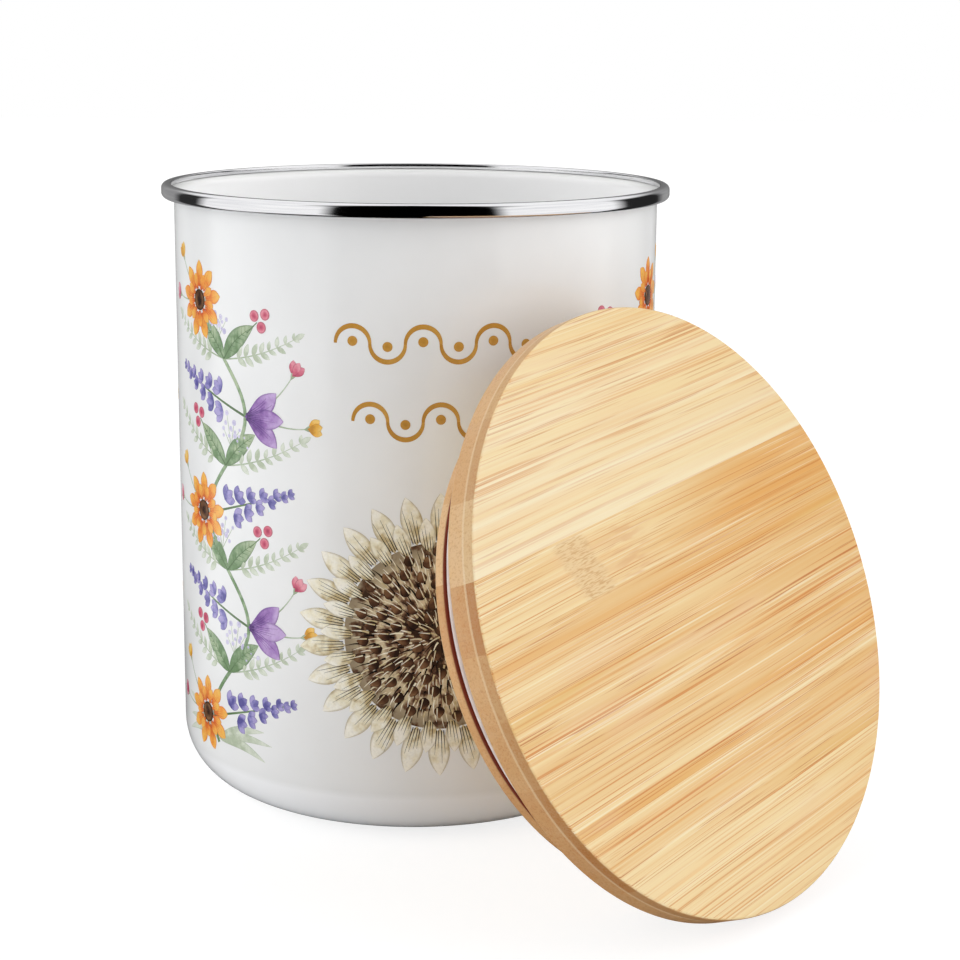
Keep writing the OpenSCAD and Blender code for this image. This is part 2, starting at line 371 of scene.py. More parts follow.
@dataclass(frozen=True)
class LaminatedBamboo:
    """Sanded and oiled bamboo strips, pressed flat and glued: straight streaks and one knuckle."""

    name: str = "laminated_bamboo"
    grain_turn_deg: float = 6.5
    # Lower edge of each strip across the grain, in millimetres, and how dark its face and its end are
    strips: tuple[Point3, ...] = (
        (-66.0, 0.38, 0.8), (-44.0, 0.52, 1.0), (-30.5, 0.58, 0.85), (-17.0, 0.54, 0.7), (-2.5, 0.58, 0.55),
        (10.9, 0.42, 0.95), (24.7, 0.16, 0.15), (39.0, 0.24, 0.6), (52.5, 0.3, 0.4))
    half_span: float = 66.0
    tones: tuple[tuple[float, str], ...] = (
        (0.0, "#F9E8C2"), (0.35, "#F5D9A2"), (0.62, "#ECC283"), (1.0, "#E7A64F"))
    bands: tuple[Marks, ...] = (Marks(340, 5.5, (0.25, 0.75), 0.3), Marks(260, 1.7, (0.25, 0.75), 0.2))
    # Each family of fibres, and the patches in which it gathers
    strands: tuple[tuple[Marks, Marks], ...] = (
        (Marks(130, 8.0, (0.5, 0.68), 0.5, "#E6B55C"), Marks(160, 22.0)),
        (Marks(520, 2.4, (0.5, 0.64), 0.42, "#EBAA58"), Marks(110, 7.0)),
        (Marks(700, 0.8, (0.5, 0.66), 0.6, "#E5A04C"), Marks(80, 4.0)),
        (Marks(900, 0.42, (0.53, 0.6), 0.85, "#D98738"), Marks(55, 2.6)),
        (Marks(700, 0.5, (0.53, 0.63), 0.6, "#FDF0CF"), Marks(60, 3.0, (0.45, 0.62))),
        (Marks(700, 0.3, (0.56, 0.63), 0.8, "#C8732F"), Marks(34, 1.6, (0.5, 0.6))),
        (Marks(10, 0.34, (0.58, 0.7), 0.4, "#DB9A52"), Marks(30, 9.0, (0.54, 0.66))),
        (Marks(40, 7.0, (0.5, 0.66), 0.3, "#EEC39A"), Marks(80, 20.0)))
    # These two families can be felt
    felt: tuple[int, int] = (2, 3)
    # A ripe strip has dark fibres, a young one faint fibres
    young: float = 0.28
    ripe_tone: Point = (0.1, 0.5)
    fibre_detail: float = 1.5
    fibre_rough: float = 0.6
    # Each strip of each ply is another piece of bamboo, so its fibres start elsewhere
    lot: float = 31.0
    lot_shift_mm: float = 900.0
    stray_per_mm: Point3 = (0.011, 0.03, 0.0)
    stray_mm: float = 1.6
    # The strip with the knuckle darkens towards its other end
    ripe_from: float = -8.0
    ripe_full: float = 34.0
    ripe: float = 0.3
    slope: Point = (-0.34, -0.14)
    knuckle_strip: int = 5
    face_ply: float = 2.6
    plate_t: float = 7.0
    # Painted shade, with the cutter's scorch, fills the groove down to this depth and out to these radii
    groove_low: float = 18.4
    groove_r: Point = (55.8, 55.98)
    # Light and dark end grain, of the face's ply and of the core, their darkness partly painted shade of the
    # turned edge
    edge: tuple[str, str] = ("#DFBB86", "#B36F30")
    core: tuple[str, str] = ("#E0B682", "#CB925A")
    pore_mm: float = 0.45
    pore_cut: Point = (0.48, 0.7)
    pore_share: float = 0.45
    edge_facing: Point = (0.45, 0.8)
    end_grain_and_shade_share: float = 0.85
    glue: str = "#EBD5AE"
    glue_half: float = 0.28
    glue_share: float = 0.45
    # Dark red-brown painted shade in the groove, with scorch
    scorch_and_shade: str = "#8A351B"
    knuckle: Point = (-29.0, 17.6)
    knuckle_half: Point = (4.7, 6.6)
    knuckle_soft: Point = (1.8, 0.7)
    knuckle_slant: float = 0.36
    knuckle_ground: str = "#EBCB98"
    knuckle_pale: float = 0.75
    specks: Marks = Marks(2.3, 0.32, (0.46, 0.63), 0.62, "#D0985A")
    # Beside the knuckle the fibres swirl, which shows as soft blots
    swirl: Point = (-14.0, 11.0)
    blots: Marks = Marks(9.0, 1.6, (0.44, 0.62), 0.6, "#E3AE78")
    roughness: Point = (0.4, 0.52)
    relief_mm: float = 0.012
    relief_share: float = 0.6
    ior: float = 1.48

    def material(self, upright: Matrix) -> Material:
        """Builds the bamboo's material.

        Args:
            upright: turns the leaning lid back to where its top face is level, at height 0.

        Returns:
            The material.
        """
        material = bpy.data.materials.new(self.name)
        add = fresh_tree(material)
        at = self._place(add, upright)
        colour = self._sawn_face(at)
        ripeness = add("MapRange", {
            "Value": at.strip, "From Min": self.ripe_tone[0], "From Max": self.ripe_tone[1],
            "To Min": self.young, "To Max": 1.0})
        marks = []
        for strand, patches in self.strands:
            mark = self._marks(at, strand)
            for share in (ripeness, self._marks(at, patches)):
                mark = add("Math", (mark, share), operation="MULTIPLY")
            colour = add("Mix", {0: mark, 6: colour, 7: linear(strand.colour)}, data_type="RGBA").outputs[2]
            marks.append(mark)
        colour, specks = self._knuckle(at, colour)
        colour = self._groove(at, self._edges(at, colour))
        lines = add("Math", [marks[k] for k in self.felt], operation="ADD")
        rough = add("MapRange", {
            "Value": add("Math", (lines, specks), operation="ADD"),
            "To Min": self.roughness[0], "To Max": self.roughness[1]})
        bump = add("Bump", {
            "Height": lines, "Distance": self.relief_mm * MM, "Strength": self.relief_share}, invert=True)
        add("OutputMaterial", {"Surface": add("BsdfPrincipled", {
            "Base Color": colour, "Roughness": rough, "Normal": bump, "IOR": self.ior})})
        return material

    def _place(self, add: AddNode, upright: Matrix) -> BoardPlace:
        """Finds a point's strip, ply and fibre.

        Args:
            add: adds a node to the material.
            upright: turns the leaning lid back.

        Returns:
            The point's place.
        """
        coords = add("TexCoord").outputs
        turn = tuple(upright.to_euler())
        level = add("Mapping", {
            "Vector": coords["Object"], "Location": upright.translation, "Rotation": turn})
        facing = add("Mapping", {"Vector": coords["Normal"], "Rotation": turn}, vector_type="VECTOR")
        grain = add("Mapping", {"Vector": level, "Scale": (1 / MM,) * 3,
                                "Rotation": (0.0, 0.0, -math.radians(self.grain_turn_deg))})
        along, across, depth = add("SeparateXYZ", (grain,)).outputs
        # Strips are sawn straight, and their fibres stray by a hair only
        drawn = add("Mapping", {"Vector": grain, "Scale": self.stray_per_mm})
        stray = add("TexNoise", {"Vector": drawn, "Scale": 1.0, "Detail": 0.0})
        strayed = add("Math", (stray, self.stray_mm, across), operation="MULTIPLY_ADD")
        share = add("MapRange", {"Value": across, "From Min": -self.half_span, "From Max": self.half_span})
        strip, end = (add("ValToRGB", {"Fac": share}, [
            ((row[0] / self.half_span + 1) / 2, row[column]) for row in self.strips]) for column in (1, 2))
        for ramp in (strip, end):
            ramp.color_ramp.interpolation = "CONSTANT"
        under_face = add("Math", (depth, -self.face_ply), operation="LESS_THAN")
        lot = add("Math", (strip, self.lot, under_face), operation="MULTIPLY_ADD")
        chance = add("TexWhiteNoise", {"W": lot}, noise_dimensions="1D")
        shifted = add("Math", (chance, self.lot_shift_mm, along), operation="MULTIPLY_ADD")
        fibre = add("CombineXYZ", (shifted, strayed, depth))
        return BoardPlace(add, level, facing, grain, along, across, depth, strip, end, under_face, fibre)

    def _marks(self, at: BoardPlace, marks: Marks) -> Node:
        """Adds marks along the fibres.

        Args:
            at: the point's place.
            marks: what the marks are like.

        Returns:
            The node that gives 0 between the marks.
        """
        size = (1 / marks.long, 1 / marks.wide, 1 / marks.wide)
        noise = at.add("TexNoise", {
            "Vector": at.add("Mapping", {"Vector": at.fibre, "Scale": size}),
            "Scale": 1.0, "Detail": self.fibre_detail, "Roughness": self.fibre_rough})
        return at.add("MapRange", {
            "Value": noise, "From Min": marks.cut[0], "From Max": marks.cut[1], "To Max": marks.strength},
            interpolation_type="SMOOTHSTEP")

    def _sawn_face(self, at: BoardPlace) -> Socket:
        """Ground colour of the strips: each has its tone, with soft bands along it.

        Args:
            at: the point's place.

        Returns:
            The colour.
        """
        add, tone = at.add, at.strip
        slope = add("MapRange", {
            "Value": at.along, "From Min": -self.half_span, "From Max": self.half_span,
            "To Min": self.slope[0], "To Max": self.slope[1]})
        for change in (*(self._marks(at, band) for band in self.bands), slope):
            tone = add("Math", (tone, change), operation="ADD")
        low, high = (self.strips[self.knuckle_strip + k][0] for k in (0, 1))
        ripe = add("MapRange", {
            "Value": at.along, "From Min": self.ripe_from, "From Max": self.ripe_full, "To Max": self.ripe},
            interpolation_type="SMOOTHSTEP")
        within = add("Math", (at.across, (low + high) / 2, (high - low) / 2), operation="COMPARE")
        tone = add("Math", (ripe, within, tone), operation="MULTIPLY_ADD")
        return add("ValToRGB", {"Fac": tone}, self.tones).outputs["Color"]

    def _knuckle(self, at: BoardPlace, colour: Socket) -> tuple[Socket, Node]:
        """The knuckle, where a leaf sat: paler, and full of specks.

        Args:
            at: the point's place.
            colour: colour around it.

        Returns:
            The colour and the mask of the specks.
        """
        add = at.add
        up = add("Math", (at.across, self.knuckle[1]), operation="SUBTRACT")
        slanted = add("Math", (up, self.knuckle_slant, at.along), operation="MULTIPLY_ADD")
        side = add("Math", (slanted, self.knuckle[0]), operation="SUBTRACT")
        past = add("Math", (at.along, self.swirl[0]), operation="SUBTRACT")
        near = []
        for away, half, soft in ((side, self.knuckle_half[0], self.knuckle_soft[0]),
                                 (up, self.knuckle_half[1], self.knuckle_soft[1]),
                                 (past, self.swirl[1] / 2, self.swirl[1] / 2)):
            near.append(add("MapRange", {
                "Value": add("Math", (away,), operation="ABSOLUTE"), "From Min": half - soft,
                "From Max": half + soft, "To Min": 1.0, "To Max": 0.0}, interpolation_type="SMOOTHSTEP"))
        beside, row, swirled = near
        top = add("Math", (1.0, at.under_face), operation="SUBTRACT")
        row = add("Math", (row, top), operation="MULTIPLY")
        mask = add("Math", (beside, row), operation="MULTIPLY")
        blots = add("Math", (self._marks(at, self.blots), swirled), operation="MULTIPLY")
        specks = add("Math", (self._marks(at, self.specks), mask), operation="MULTIPLY")
        blots = add("Math", (blots, row), operation="MULTIPLY")
        pale = add("Math", (mask, self.knuckle_pale), operation="MULTIPLY")
        for share, over in ((blots, self.blots.colour), (pale, self.knuckle_ground),
                            (specks, self.specks.colour)):
            colour = add("Mix", {0: share, 6: colour, 7: linear(over)}, data_type="RGBA").outputs[2]
        return colour, specks

    def _edges(self, at: BoardPlace, colour: Socket) -> Socket:
        """Turned edges: darker, partly as end grain that drinks more oil, each strip its own share, and
        partly as painted shade; a pale glue line shows.

        Args:
            at: the point's place.
            colour: colour of the faces.

        Returns:
            The colour.
        """
        add = at.add
        face, core = (add("Mix", {0: at.end, 6: linear(light), 7: linear(dark)}, data_type="RGBA").outputs[2]
                      for light, dark in (self.edge, self.core))
        pores = add("MapRange", {
            "Value": add("TexNoise", {"Vector": at.level, "Scale": 1 / (self.pore_mm * MM), "Detail": 2.0}),
            "From Min": self.pore_cut[0], "From Max": self.pore_cut[1], "To Max": self.pore_share},
            interpolation_type="SMOOTHSTEP")
        line = add("Math", (at.depth, -self.face_ply, self.glue_half), operation="COMPARE")
        line = add("Math", (line, self.glue_share), operation="MULTIPLY")
        # Faces turned away from the top take the darker colour: end grain and painted shade
        facing = add("SeparateXYZ", (at.facing,)).outputs[2]
        edge = add("MapRange", {
            "Value": add("Math", (facing,), operation="ABSOLUTE"), "From Min": self.edge_facing[0],
            "From Max": self.edge_facing[1], "To Min": self.end_grain_and_shade_share, "To Max": 0.0},
            interpolation_type="SMOOTHSTEP")
        end = face
        for share, over in ((at.under_face, core), (pores, linear(self.edge[1])), (line, linear(self.glue))):
            end = add("Mix", {0: share, 6: end, 7: over}, data_type="RGBA").outputs[2]
        return add("Mix", {0: edge, 6: colour, 7: end}, data_type="RGBA").outputs[2]

    def _groove(self, at: BoardPlace, colour: Socket) -> Socket:
        """The groove and the flange's top face under it: painted shade in the recess, with the cutter's
        scorch.

        Args:
            at: the point's place.
            colour: colour around it.

        Returns:
            The colour.
        """
        add = at.add
        flat = add("VectorMath", (at.grain, (1.0, 1.0, 0.0)), operation="MULTIPLY")
        reach = add("VectorMath", (flat,), operation="LENGTH").outputs["Value"]
        inside = add("MapRange", {
            "Value": reach, "From Min": self.groove_r[0], "From Max": self.groove_r[1],
            "To Min": 1.0, "To Max": 0.0}, interpolation_type="SMOOTHSTEP")
        middle = (self.plate_t + self.groove_low) / 2
        within = add("Math", (at.depth, -middle, middle - self.plate_t), operation="COMPARE")
        # Painted shade in the groove, with the cutter's scorch
        burnt_and_shaded = add("Math", (inside, within), operation="MULTIPLY")
        return add("Mix", {0: burnt_and_shaded, 6: colour, 7: linear(self.scorch_and_shade)}, data_type="RGBA").outputs[2]


@dataclass(frozen=True)
class CeramicPaint:
    """Print fired into the glaze, shaded as a wash: pigment pools at the edges of each stroke."""

    name: str
    root: str
    middle: str
    tip: str
    pool: str
    pool_from: float = 0.7
    pool_share: float = 0.6
    mottle_mm: float = 2.2
    mottle: float = 0.35
    mottle_cut: Point = (0.3, 0.7)
    own: float = 0.2
    stages: Point3 = (0.02, 0.45, 0.95)
    grit_mm: float = 0.5
    grit: float = 0.14
    roughness: float = 0.2
    ior: float = 1.52

    def material(self) -> Material:
        """Builds the print's material, which reads how far along and across a stroke a point is.

        Returns:
            The material.
        """
        material = bpy.data.materials.new("fired_print_" + self.name)
        add = fresh_tree(material)
        place = add("TexCoord").outputs["Object"]
        stroke = add("Attribute", attribute_name=PrintSheet.STROKE).outputs["Vector"]
        where, across, chance = add("SeparateXYZ", (stroke,)).outputs
        cloud, grit = (add("TexNoise", {"Vector": place, "Scale": 1 / (size * MM), "Detail": detail})
                       for size, detail in ((self.mottle_mm, 3.0), (self.grit_mm, 2.0)))
        # Wet paint drifts, so the colours of a stroke start and end at uneven places
        drift = add("MapRange", {
            "Value": cloud, "From Min": self.mottle_cut[0], "From Max": self.mottle_cut[1],
            "To Min": -self.mottle, "To Max": self.mottle})
        own = add("MapRange", {"Value": chance, "To Min": -self.own, "To Max": self.own})
        for shift in (drift, own):
            where = add("Math", (where, shift), operation="ADD")
        wash = add("ValToRGB", {"Fac": where}, tuple(zip(self.stages, (self.root, self.middle, self.tip))))
        edge = add("MapRange", {
            "Value": across, "From Min": self.pool_from, "From Max": 1.0, "To Max": self.pool_share},
            interpolation_type="SMOOTHSTEP")
        mixed = add("Mix", {0: edge, 6: wash, 7: linear(self.pool)}, data_type="RGBA").outputs[2]
        speck = add("MapRange", {"Value": grit, "To Min": 1 - self.grit, "To Max": 1 + self.grit})
        toned = add("VectorMath", {0: mixed, "Scale": speck}, operation="SCALE")
        add("OutputMaterial", {"Surface": add("BsdfPrincipled", {
            "Base Color": toned, "Roughness": self.roughness, "IOR": self.ior})})
        return material


class Paint(Enum):
    """The colours of the print, each named for what it gives the eye."""

    LEAF = CeramicPaint("leaf_green", "#6F8F62", "#93AB86", "#B3C2A0", "#5E7A55", mottle=0.5)
    VEIN = CeramicPaint("vein_green", "#5C7650", "#66835A", "#7E9A6C", "#4F6A45")
    ORANGE = CeramicPaint("daisy_orange", "#EE7F3A", "#F7A64B", "#F9BF5E", "#E2703F")
    ORANGE_LINE = CeramicPaint("daisy_line", "#D9622F", "#E47B3F", "#EE9A55", "#CF5A2E")
    VIOLET = CeramicPaint("bell_violet", "#7B4F9B", "#A57CC0", "#C8ABDA", "#6E4790")
    VIOLET_LINE = CeramicPaint("bell_line", "#4E2C70", "#64408A", "#7E5AA2", "#432463")
    BLUE = CeramicPaint("spike_blue", "#5F5A9C", "#8781BE", "#B0A6D6", "#57518F", mottle=0.6)
    PINK = CeramicPaint("berry_pink", "#B8405E", "#D4607A", "#E893A2", "#A5344F")
    BROWN = CeramicPaint("seed_brown", "#33221A", "#5A3B28", "#8A6344", "#241711", pool_share=0.8)
    CREAM = CeramicPaint("petal_cream", "#CDB98C", "#F3EBD0", "#FDF9EC", "#A3906A", mottle=0.45)
    GOLD = CeramicPaint("scroll_gold", "#C08A38", "#C8923C", "#CE9B47", "#B98330", pool_share=0.4, mottle=0.2)
    PALE_LEAF = CeramicPaint("pale_leaf", "#BBC6AC", "#CFD7C3", "#E0E5D6", "#A9B79C", mottle=0.5)
    PALE_BLUE = CeramicPaint("pale_blue", "#BDB8D8", "#D0CAE4", "#E3DEF0", "#ABA4CC", mottle=0.5)
    PALE_STALK = CeramicPaint("pale_stalk", "#9FB08F", "#B3C0A4", "#C6D0BA", "#92A481")
    ROSE = CeramicPaint("bud_rose", "#B23A5C", "#D96B84", "#EFA3B0", "#9C2F4E")
    YELLOW = CeramicPaint("bud_yellow", "#C98A1E", "#EDB03A", "#F7CC6E", "#C2801C")
    WASH = CeramicPaint("head_wash", "#3E2A1E", "#84624A", "#D8C6A2", "#503A2A", mottle_mm=3.0, mottle=1.1)
    INK = CeramicPaint("ink_brown", "#191311", "#2A1E18", "#4A372B", "#120D0B")


# Print

class Petal(Enum):
    """Petals: where they are widest, from root to tip, their steps along and across, and their layer."""

    LEAF = (0.45, 14, 6, 1)
    DAISY = (0.6, 10, 6, 5)
    BELL = (0.58, 14, 6, 5)
    FLORET = (0.55, 7, 4, 3)
    FOOT = (0.4, 12, 4, 0)
    SPRAY = (0.45, 7, 4, 0)
    SPRAY_TIP = (0.5, 7, 4, 0)
    CUP = (0.6, 6, 2, 2)
    BUD = (0.6, 8, 4, 1)
    SEED = (0.42, 8, 4, 5)
    HEAD = (0.5, 12, 6, 3)

    def half(self, width: float) -> Callable[[float], float]:
        """Half width by share of the length, for a petal of this greatest width."""
        power = math.log(0.5) / math.log(self.value[0])
        return lambda t: width / 2 * max(0.03, math.sin(math.pi * t ** power) ** 0.8)


class Pen(Enum):
    """Thin lines: their width, the share of it that they lose on the way, and their layer."""

    MIDRIB = (0.36, 0.7, 3)
    SIDE_VEIN = (0.2, 0.8, 3)
    SPIKE = (0.62, 0.6, 1)
    DAISY = (0.17, 0.8, 9)
    BELL = (0.18, 0.8, 9)
    BERRY = (0.3, 0.2, 2)
    SPRAY = (0.36, 0.6, 0)
    BUD = (0.34, 0.3, 1)
    MIST = (0.22, 0.4, 0)
    QUILL = (1.0, 0.85, 3)
    GLINT = (0.34, 0.8, 8)
    HEAD = (0.2, 0.8, 8)


class Dot(Enum):
    """Round dots: their rings, their steps around, and their layer."""

    EYE = (4, 24, 12)
    BERRY = (4, 18, 4)
    MIST = (2, 10, 1)
    WASH = (12, 96, 1)
    SCROLL = (3, 20, 3)


@dataclass(frozen=True)
class Spot:
    """A place on the wall with a heading, from which a motif is drawn in millimetres."""

    arc: float
    up: float
    mirrored: bool = False
    x: float = 0.0
    y: float = 0.0
    turn: float = 0.0

    def moved(self, x: float, y: float, turn: float = 0.0) -> "Spot":
        """The spot moved along its own axes and then turned, in degrees."""
        c, s = math.cos(math.radians(self.turn)), math.sin(math.radians(self.turn))
        return Spot(self.arc, self.up, self.mirrored, self.x + x * c - y * s, self.y + x * s + y * c,
                    self.turn + turn)

    def at(self, x: float = 0.0, y: float = 0.0) -> Point:
        """Distance around the wall and height of a point of the motif."""
        there = self.moved(x, y)
        return self.arc + (-there.x if self.mirrored else there.x), self.up + there.y

    def ahead(self, length: float, steps: int, bend: float = 0.0, wave: float = 1.0) -> list[Point]:
        """Points ahead, on a path that bows to one side by a share of half a wave."""
        return [self.at(bend * math.sin(math.pi * wave * t / steps), length * t / steps)
                for t in range(steps + 1)]

    def curled(self, length: float, steps: int, curl: float) -> list["Spot"]:
        """Spots ahead on a path that turns a little at each step.

        Args:
            length: length of the path.
            steps: number of steps.
            curl: turn at each step, in degrees.

        Returns:
            The spots, this one first.
        """
        spots = [self]
        for _ in range(steps):
            spots.append(spots[-1].moved(0, length / steps, curl))
        return spots


class PrintSheet:
    """Strokes of one colour that lie on the tin's wall, as thin closed solids in one mesh."""

    STROKE = "stroke"
    LIFT = 0.012
    DOME = 0.018

    def __init__(self, wall_r: float, shift: float) -> None:
        """Starts an empty sheet.

        Args:
            wall_r: radius of the wall, in millimetres.
            shift: distance around the wall from the front to the middle of the print.
        """
        self.wall_r = wall_r
        self.shift = shift
        self.points: list[Point3] = []
        self.faces: list[tuple[int, ...]] = []
        self.strokes: list[Point3] = []

    def _corner(self, flat: Point, side: int, level: int, stroke: Point3) -> int:
        """Adds a corner.

        Args:
            flat: distance around the wall and height.
            side: 0 on the stroke's domed face, 1 on its back.
            level: layer that it lies in.
            stroke: share along and across the stroke, and the stroke's own random number.

        Returns:
            The corner's number.
        """
        turn = (flat[0] + self.shift) / self.wall_r
        face = self.LIFT * (level + 1) + self.DOME * (1 - stroke[1] * stroke[1])
        radius = self.wall_r + (-self.LIFT if side else face)
        self.points.append((radius * math.sin(turn), -radius * math.cos(turn), flat[1]))
        self.strokes.append(stroke)
        return len(self.points) - 1

    def blade(self, path: Sequence[Point], half: Callable[[float], float], level: int, chance: float,
              across: int = 4) -> None:
        """Adds a stroke along a path.

        Args:
            path: points on the wall that the stroke's middle follows.
            half: half width by share of its length.
            level: layer that it lies in, above what it covers.
            chance: the stroke's own random number, from 0 to 1.
            across: number of steps across it.
        """
        steps = len(path) - 1
        rows: list[list[list[int]]] = [[], []]
        for i, (x, y) in enumerate(path):
            ahead, behind = path[min(i + 1, steps)], path[max(i - 1, 0)]
            heading = math.atan2(ahead[1] - behind[1], ahead[0] - behind[0])
            reach = half(i / steps)
            shares = [2 * j / across - 1 for j in range(across + 1)]
            for side, row in enumerate(rows):
                row.append([self._corner(
                    (x - math.sin(heading) * reach * s, y + math.cos(heading) * reach * s),
                    side, level, (i / steps, abs(s), chance)) for s in shares])
        top, low = rows
        for i in range(steps):
            for j in range(across):
                self.faces.append((top[i][j], top[i + 1][j], top[i + 1][j + 1], top[i][j + 1]))
                self.faces.append((low[i][j], low[i][j + 1], low[i + 1][j + 1], low[i + 1][j]))
            self.faces.append((top[i][0], low[i][0], low[i + 1][0], top[i + 1][0]))
            self.faces.append((top[i][across], top[i + 1][across], low[i + 1][across], low[i][across]))
        for j in range(across):
            self.faces.append((top[0][j], top[0][j + 1], low[0][j + 1], low[0][j]))
            self.faces.append((top[steps][j], low[steps][j], low[steps][j + 1], top[steps][j + 1]))

    def disc(self, centre: Point, radius: float, dot: Dot, chance: float, raised: int = 0) -> None:
        """Adds a round dot.

        Args:
            centre: distance around the wall and height of its middle.
            radius: its radius.
            dot: what kind of dot it is.
            chance: its own random number, from 0 to 1.
            raised: layers that it lies above its kind.
        """
        rings, steps, level = dot.value
        level += raised
        sides: list[list[list[int]]] = []
        for side in range(2):
            circles = [[self._corner(centre, side, level, (0.0, 0.0, chance))] * steps]
            for share in (k / rings for k in range(1, rings + 1)):
                circles.append([self._corner(
                    (centre[0] + radius * share * math.cos(2 * math.pi * i / steps),
                     centre[1] + radius * share * math.sin(2 * math.pi * i / steps)),
                    side, level, (share, share, chance)) for i in range(steps)])
            sides.append(circles)
        for side, circles in enumerate(sides):
            for inner, outer in zip(circles, circles[1:]):
                for i in range(steps):
                    n = (i + 1) % steps
                    face = tuple(dict.fromkeys((inner[i], outer[i], outer[n], inner[n])))
                    self.faces.append(face[::-1] if side else face)
        top, low = sides[0][-1], sides[1][-1]
        for i in range(steps):
            n = (i + 1) % steps
            self.faces.append((top[i], low[i], low[n], top[n]))

    def petal(self, spot: Spot, size: Point, petal: Petal, chance: float, bend: float = 0.0,
              raised: int = 0) -> None:
        """Adds a petal or leaf from a spot along its heading.

        Args:
            spot: where its root is.
            size: its length and its greatest width.
            petal: what kind of petal it is.
            chance: its own random number, from 0 to 1.
            bend: how far its middle bows to one side.
            raised: layers that it lies above its kind.
        """
        _, steps, across, level = petal.value
        self.blade(spot.ahead(size[0], steps, bend), petal.half(size[1]), level + raised, chance, across)

    def line(self, path: Sequence[Point], pen: Pen, chance: float, raised: int = 0,
             scale: float = 1.0) -> None:
        """Adds a thin line that narrows towards its end.

        Args:
            path: points on the wall.
            pen: what kind of line it is.
            chance: its own random number, from 0 to 1.
            raised: layers that it lies above its kind.
            scale: factor on its width.
        """
        width, taper, level = pen.value
        self.blade(path, lambda t: width * scale / 2 * (1 - taper * t), level + raised, chance, across=2)

    def build(self, name: str, paint: Paint, slot: str, *nodes: str) -> None:
        """Makes the sheet's object and dresses it.

        Args:
            name: name of the object.
            paint: its colour.
            slot: the material slot in the record.
            nodes: names of the solids that it replaces.
        """
        made = finish_mesh(name, self.points, self.faces, PRINT_SHARP_DEG)
        stroke = made.data.attributes.new(self.STROKE, "FLOAT_VECTOR", "POINT")
        stroke.data.foreach_set("vector", [value for corner in self.strokes for value in corner])
        settle(made, paint.value.material(), slot, *nodes)


@dataclass(frozen=True)
class Fan:
    """Fine lines that fan out over a petal from its root."""

    pen: Pen
    offsets: tuple[float, ...]
    apart: float
    root: float
    lean: float
    reach: Point
    steps: int
    own_shade: bool = False

    def draw(self, sheet: PrintSheet, spot: Spot, length: float, dice: random.Random, raised: int = 0,
             bend: float = 0.0) -> None:
        """Draws the lines of one petal.

        Args:
            sheet: sheet that they go on.
            spot: the petal's root.
            length: the petal's length.
            dice: gives each line its reach.
            raised: layers that they lie above their kind.
            bend: how far the petal's middle bows.
        """
        for offset in self.offsets:
            start = spot.moved(offset * self.apart, self.root, -offset * self.lean)
            path = start.ahead(length * dice.uniform(*self.reach), self.steps, bend, 2 / 3)
            sheet.line(path, self.pen, dice.random() if self.own_shade else 0.5, raised)


@dataclass(frozen=True)
class Corolla:
    """Two rows of petals around a flower's middle, the second shorter, narrower and on top."""

    petal: Petal
    fan: Fan
    count: int
    root_r: float
    size: Point
    second: Point
    sink: float
    bend: float
    way: int = 1

    def draw(self, petals: PrintSheet, lines: PrintSheet, centre: Spot, dice: random.Random) -> None:
        """Draws both rows, with fine lines on each petal.

        Args:
            petals: sheet of the petals.
            lines: sheet of the lines.
            centre: the flower's middle.
            dice: gives each petal its shade and its bend.
        """
        for row, share in enumerate(((1.0, 1.0), self.second)):
            length, width = self.size[0] * share[0], self.size[1] * share[1]
            for k in range(self.count):
                spot = centre.moved(0, 0, self.way * 360 * (k + row / 2) / self.count)
                spot = spot.moved(0, self.root_r - self.sink * row)
                petals.petal(spot, (length, width), self.petal, dice.random(),
                             dice.uniform(-self.bend, self.bend), 2 * row + k % 2)
                self.fan.draw(lines, spot, length, dice, row)


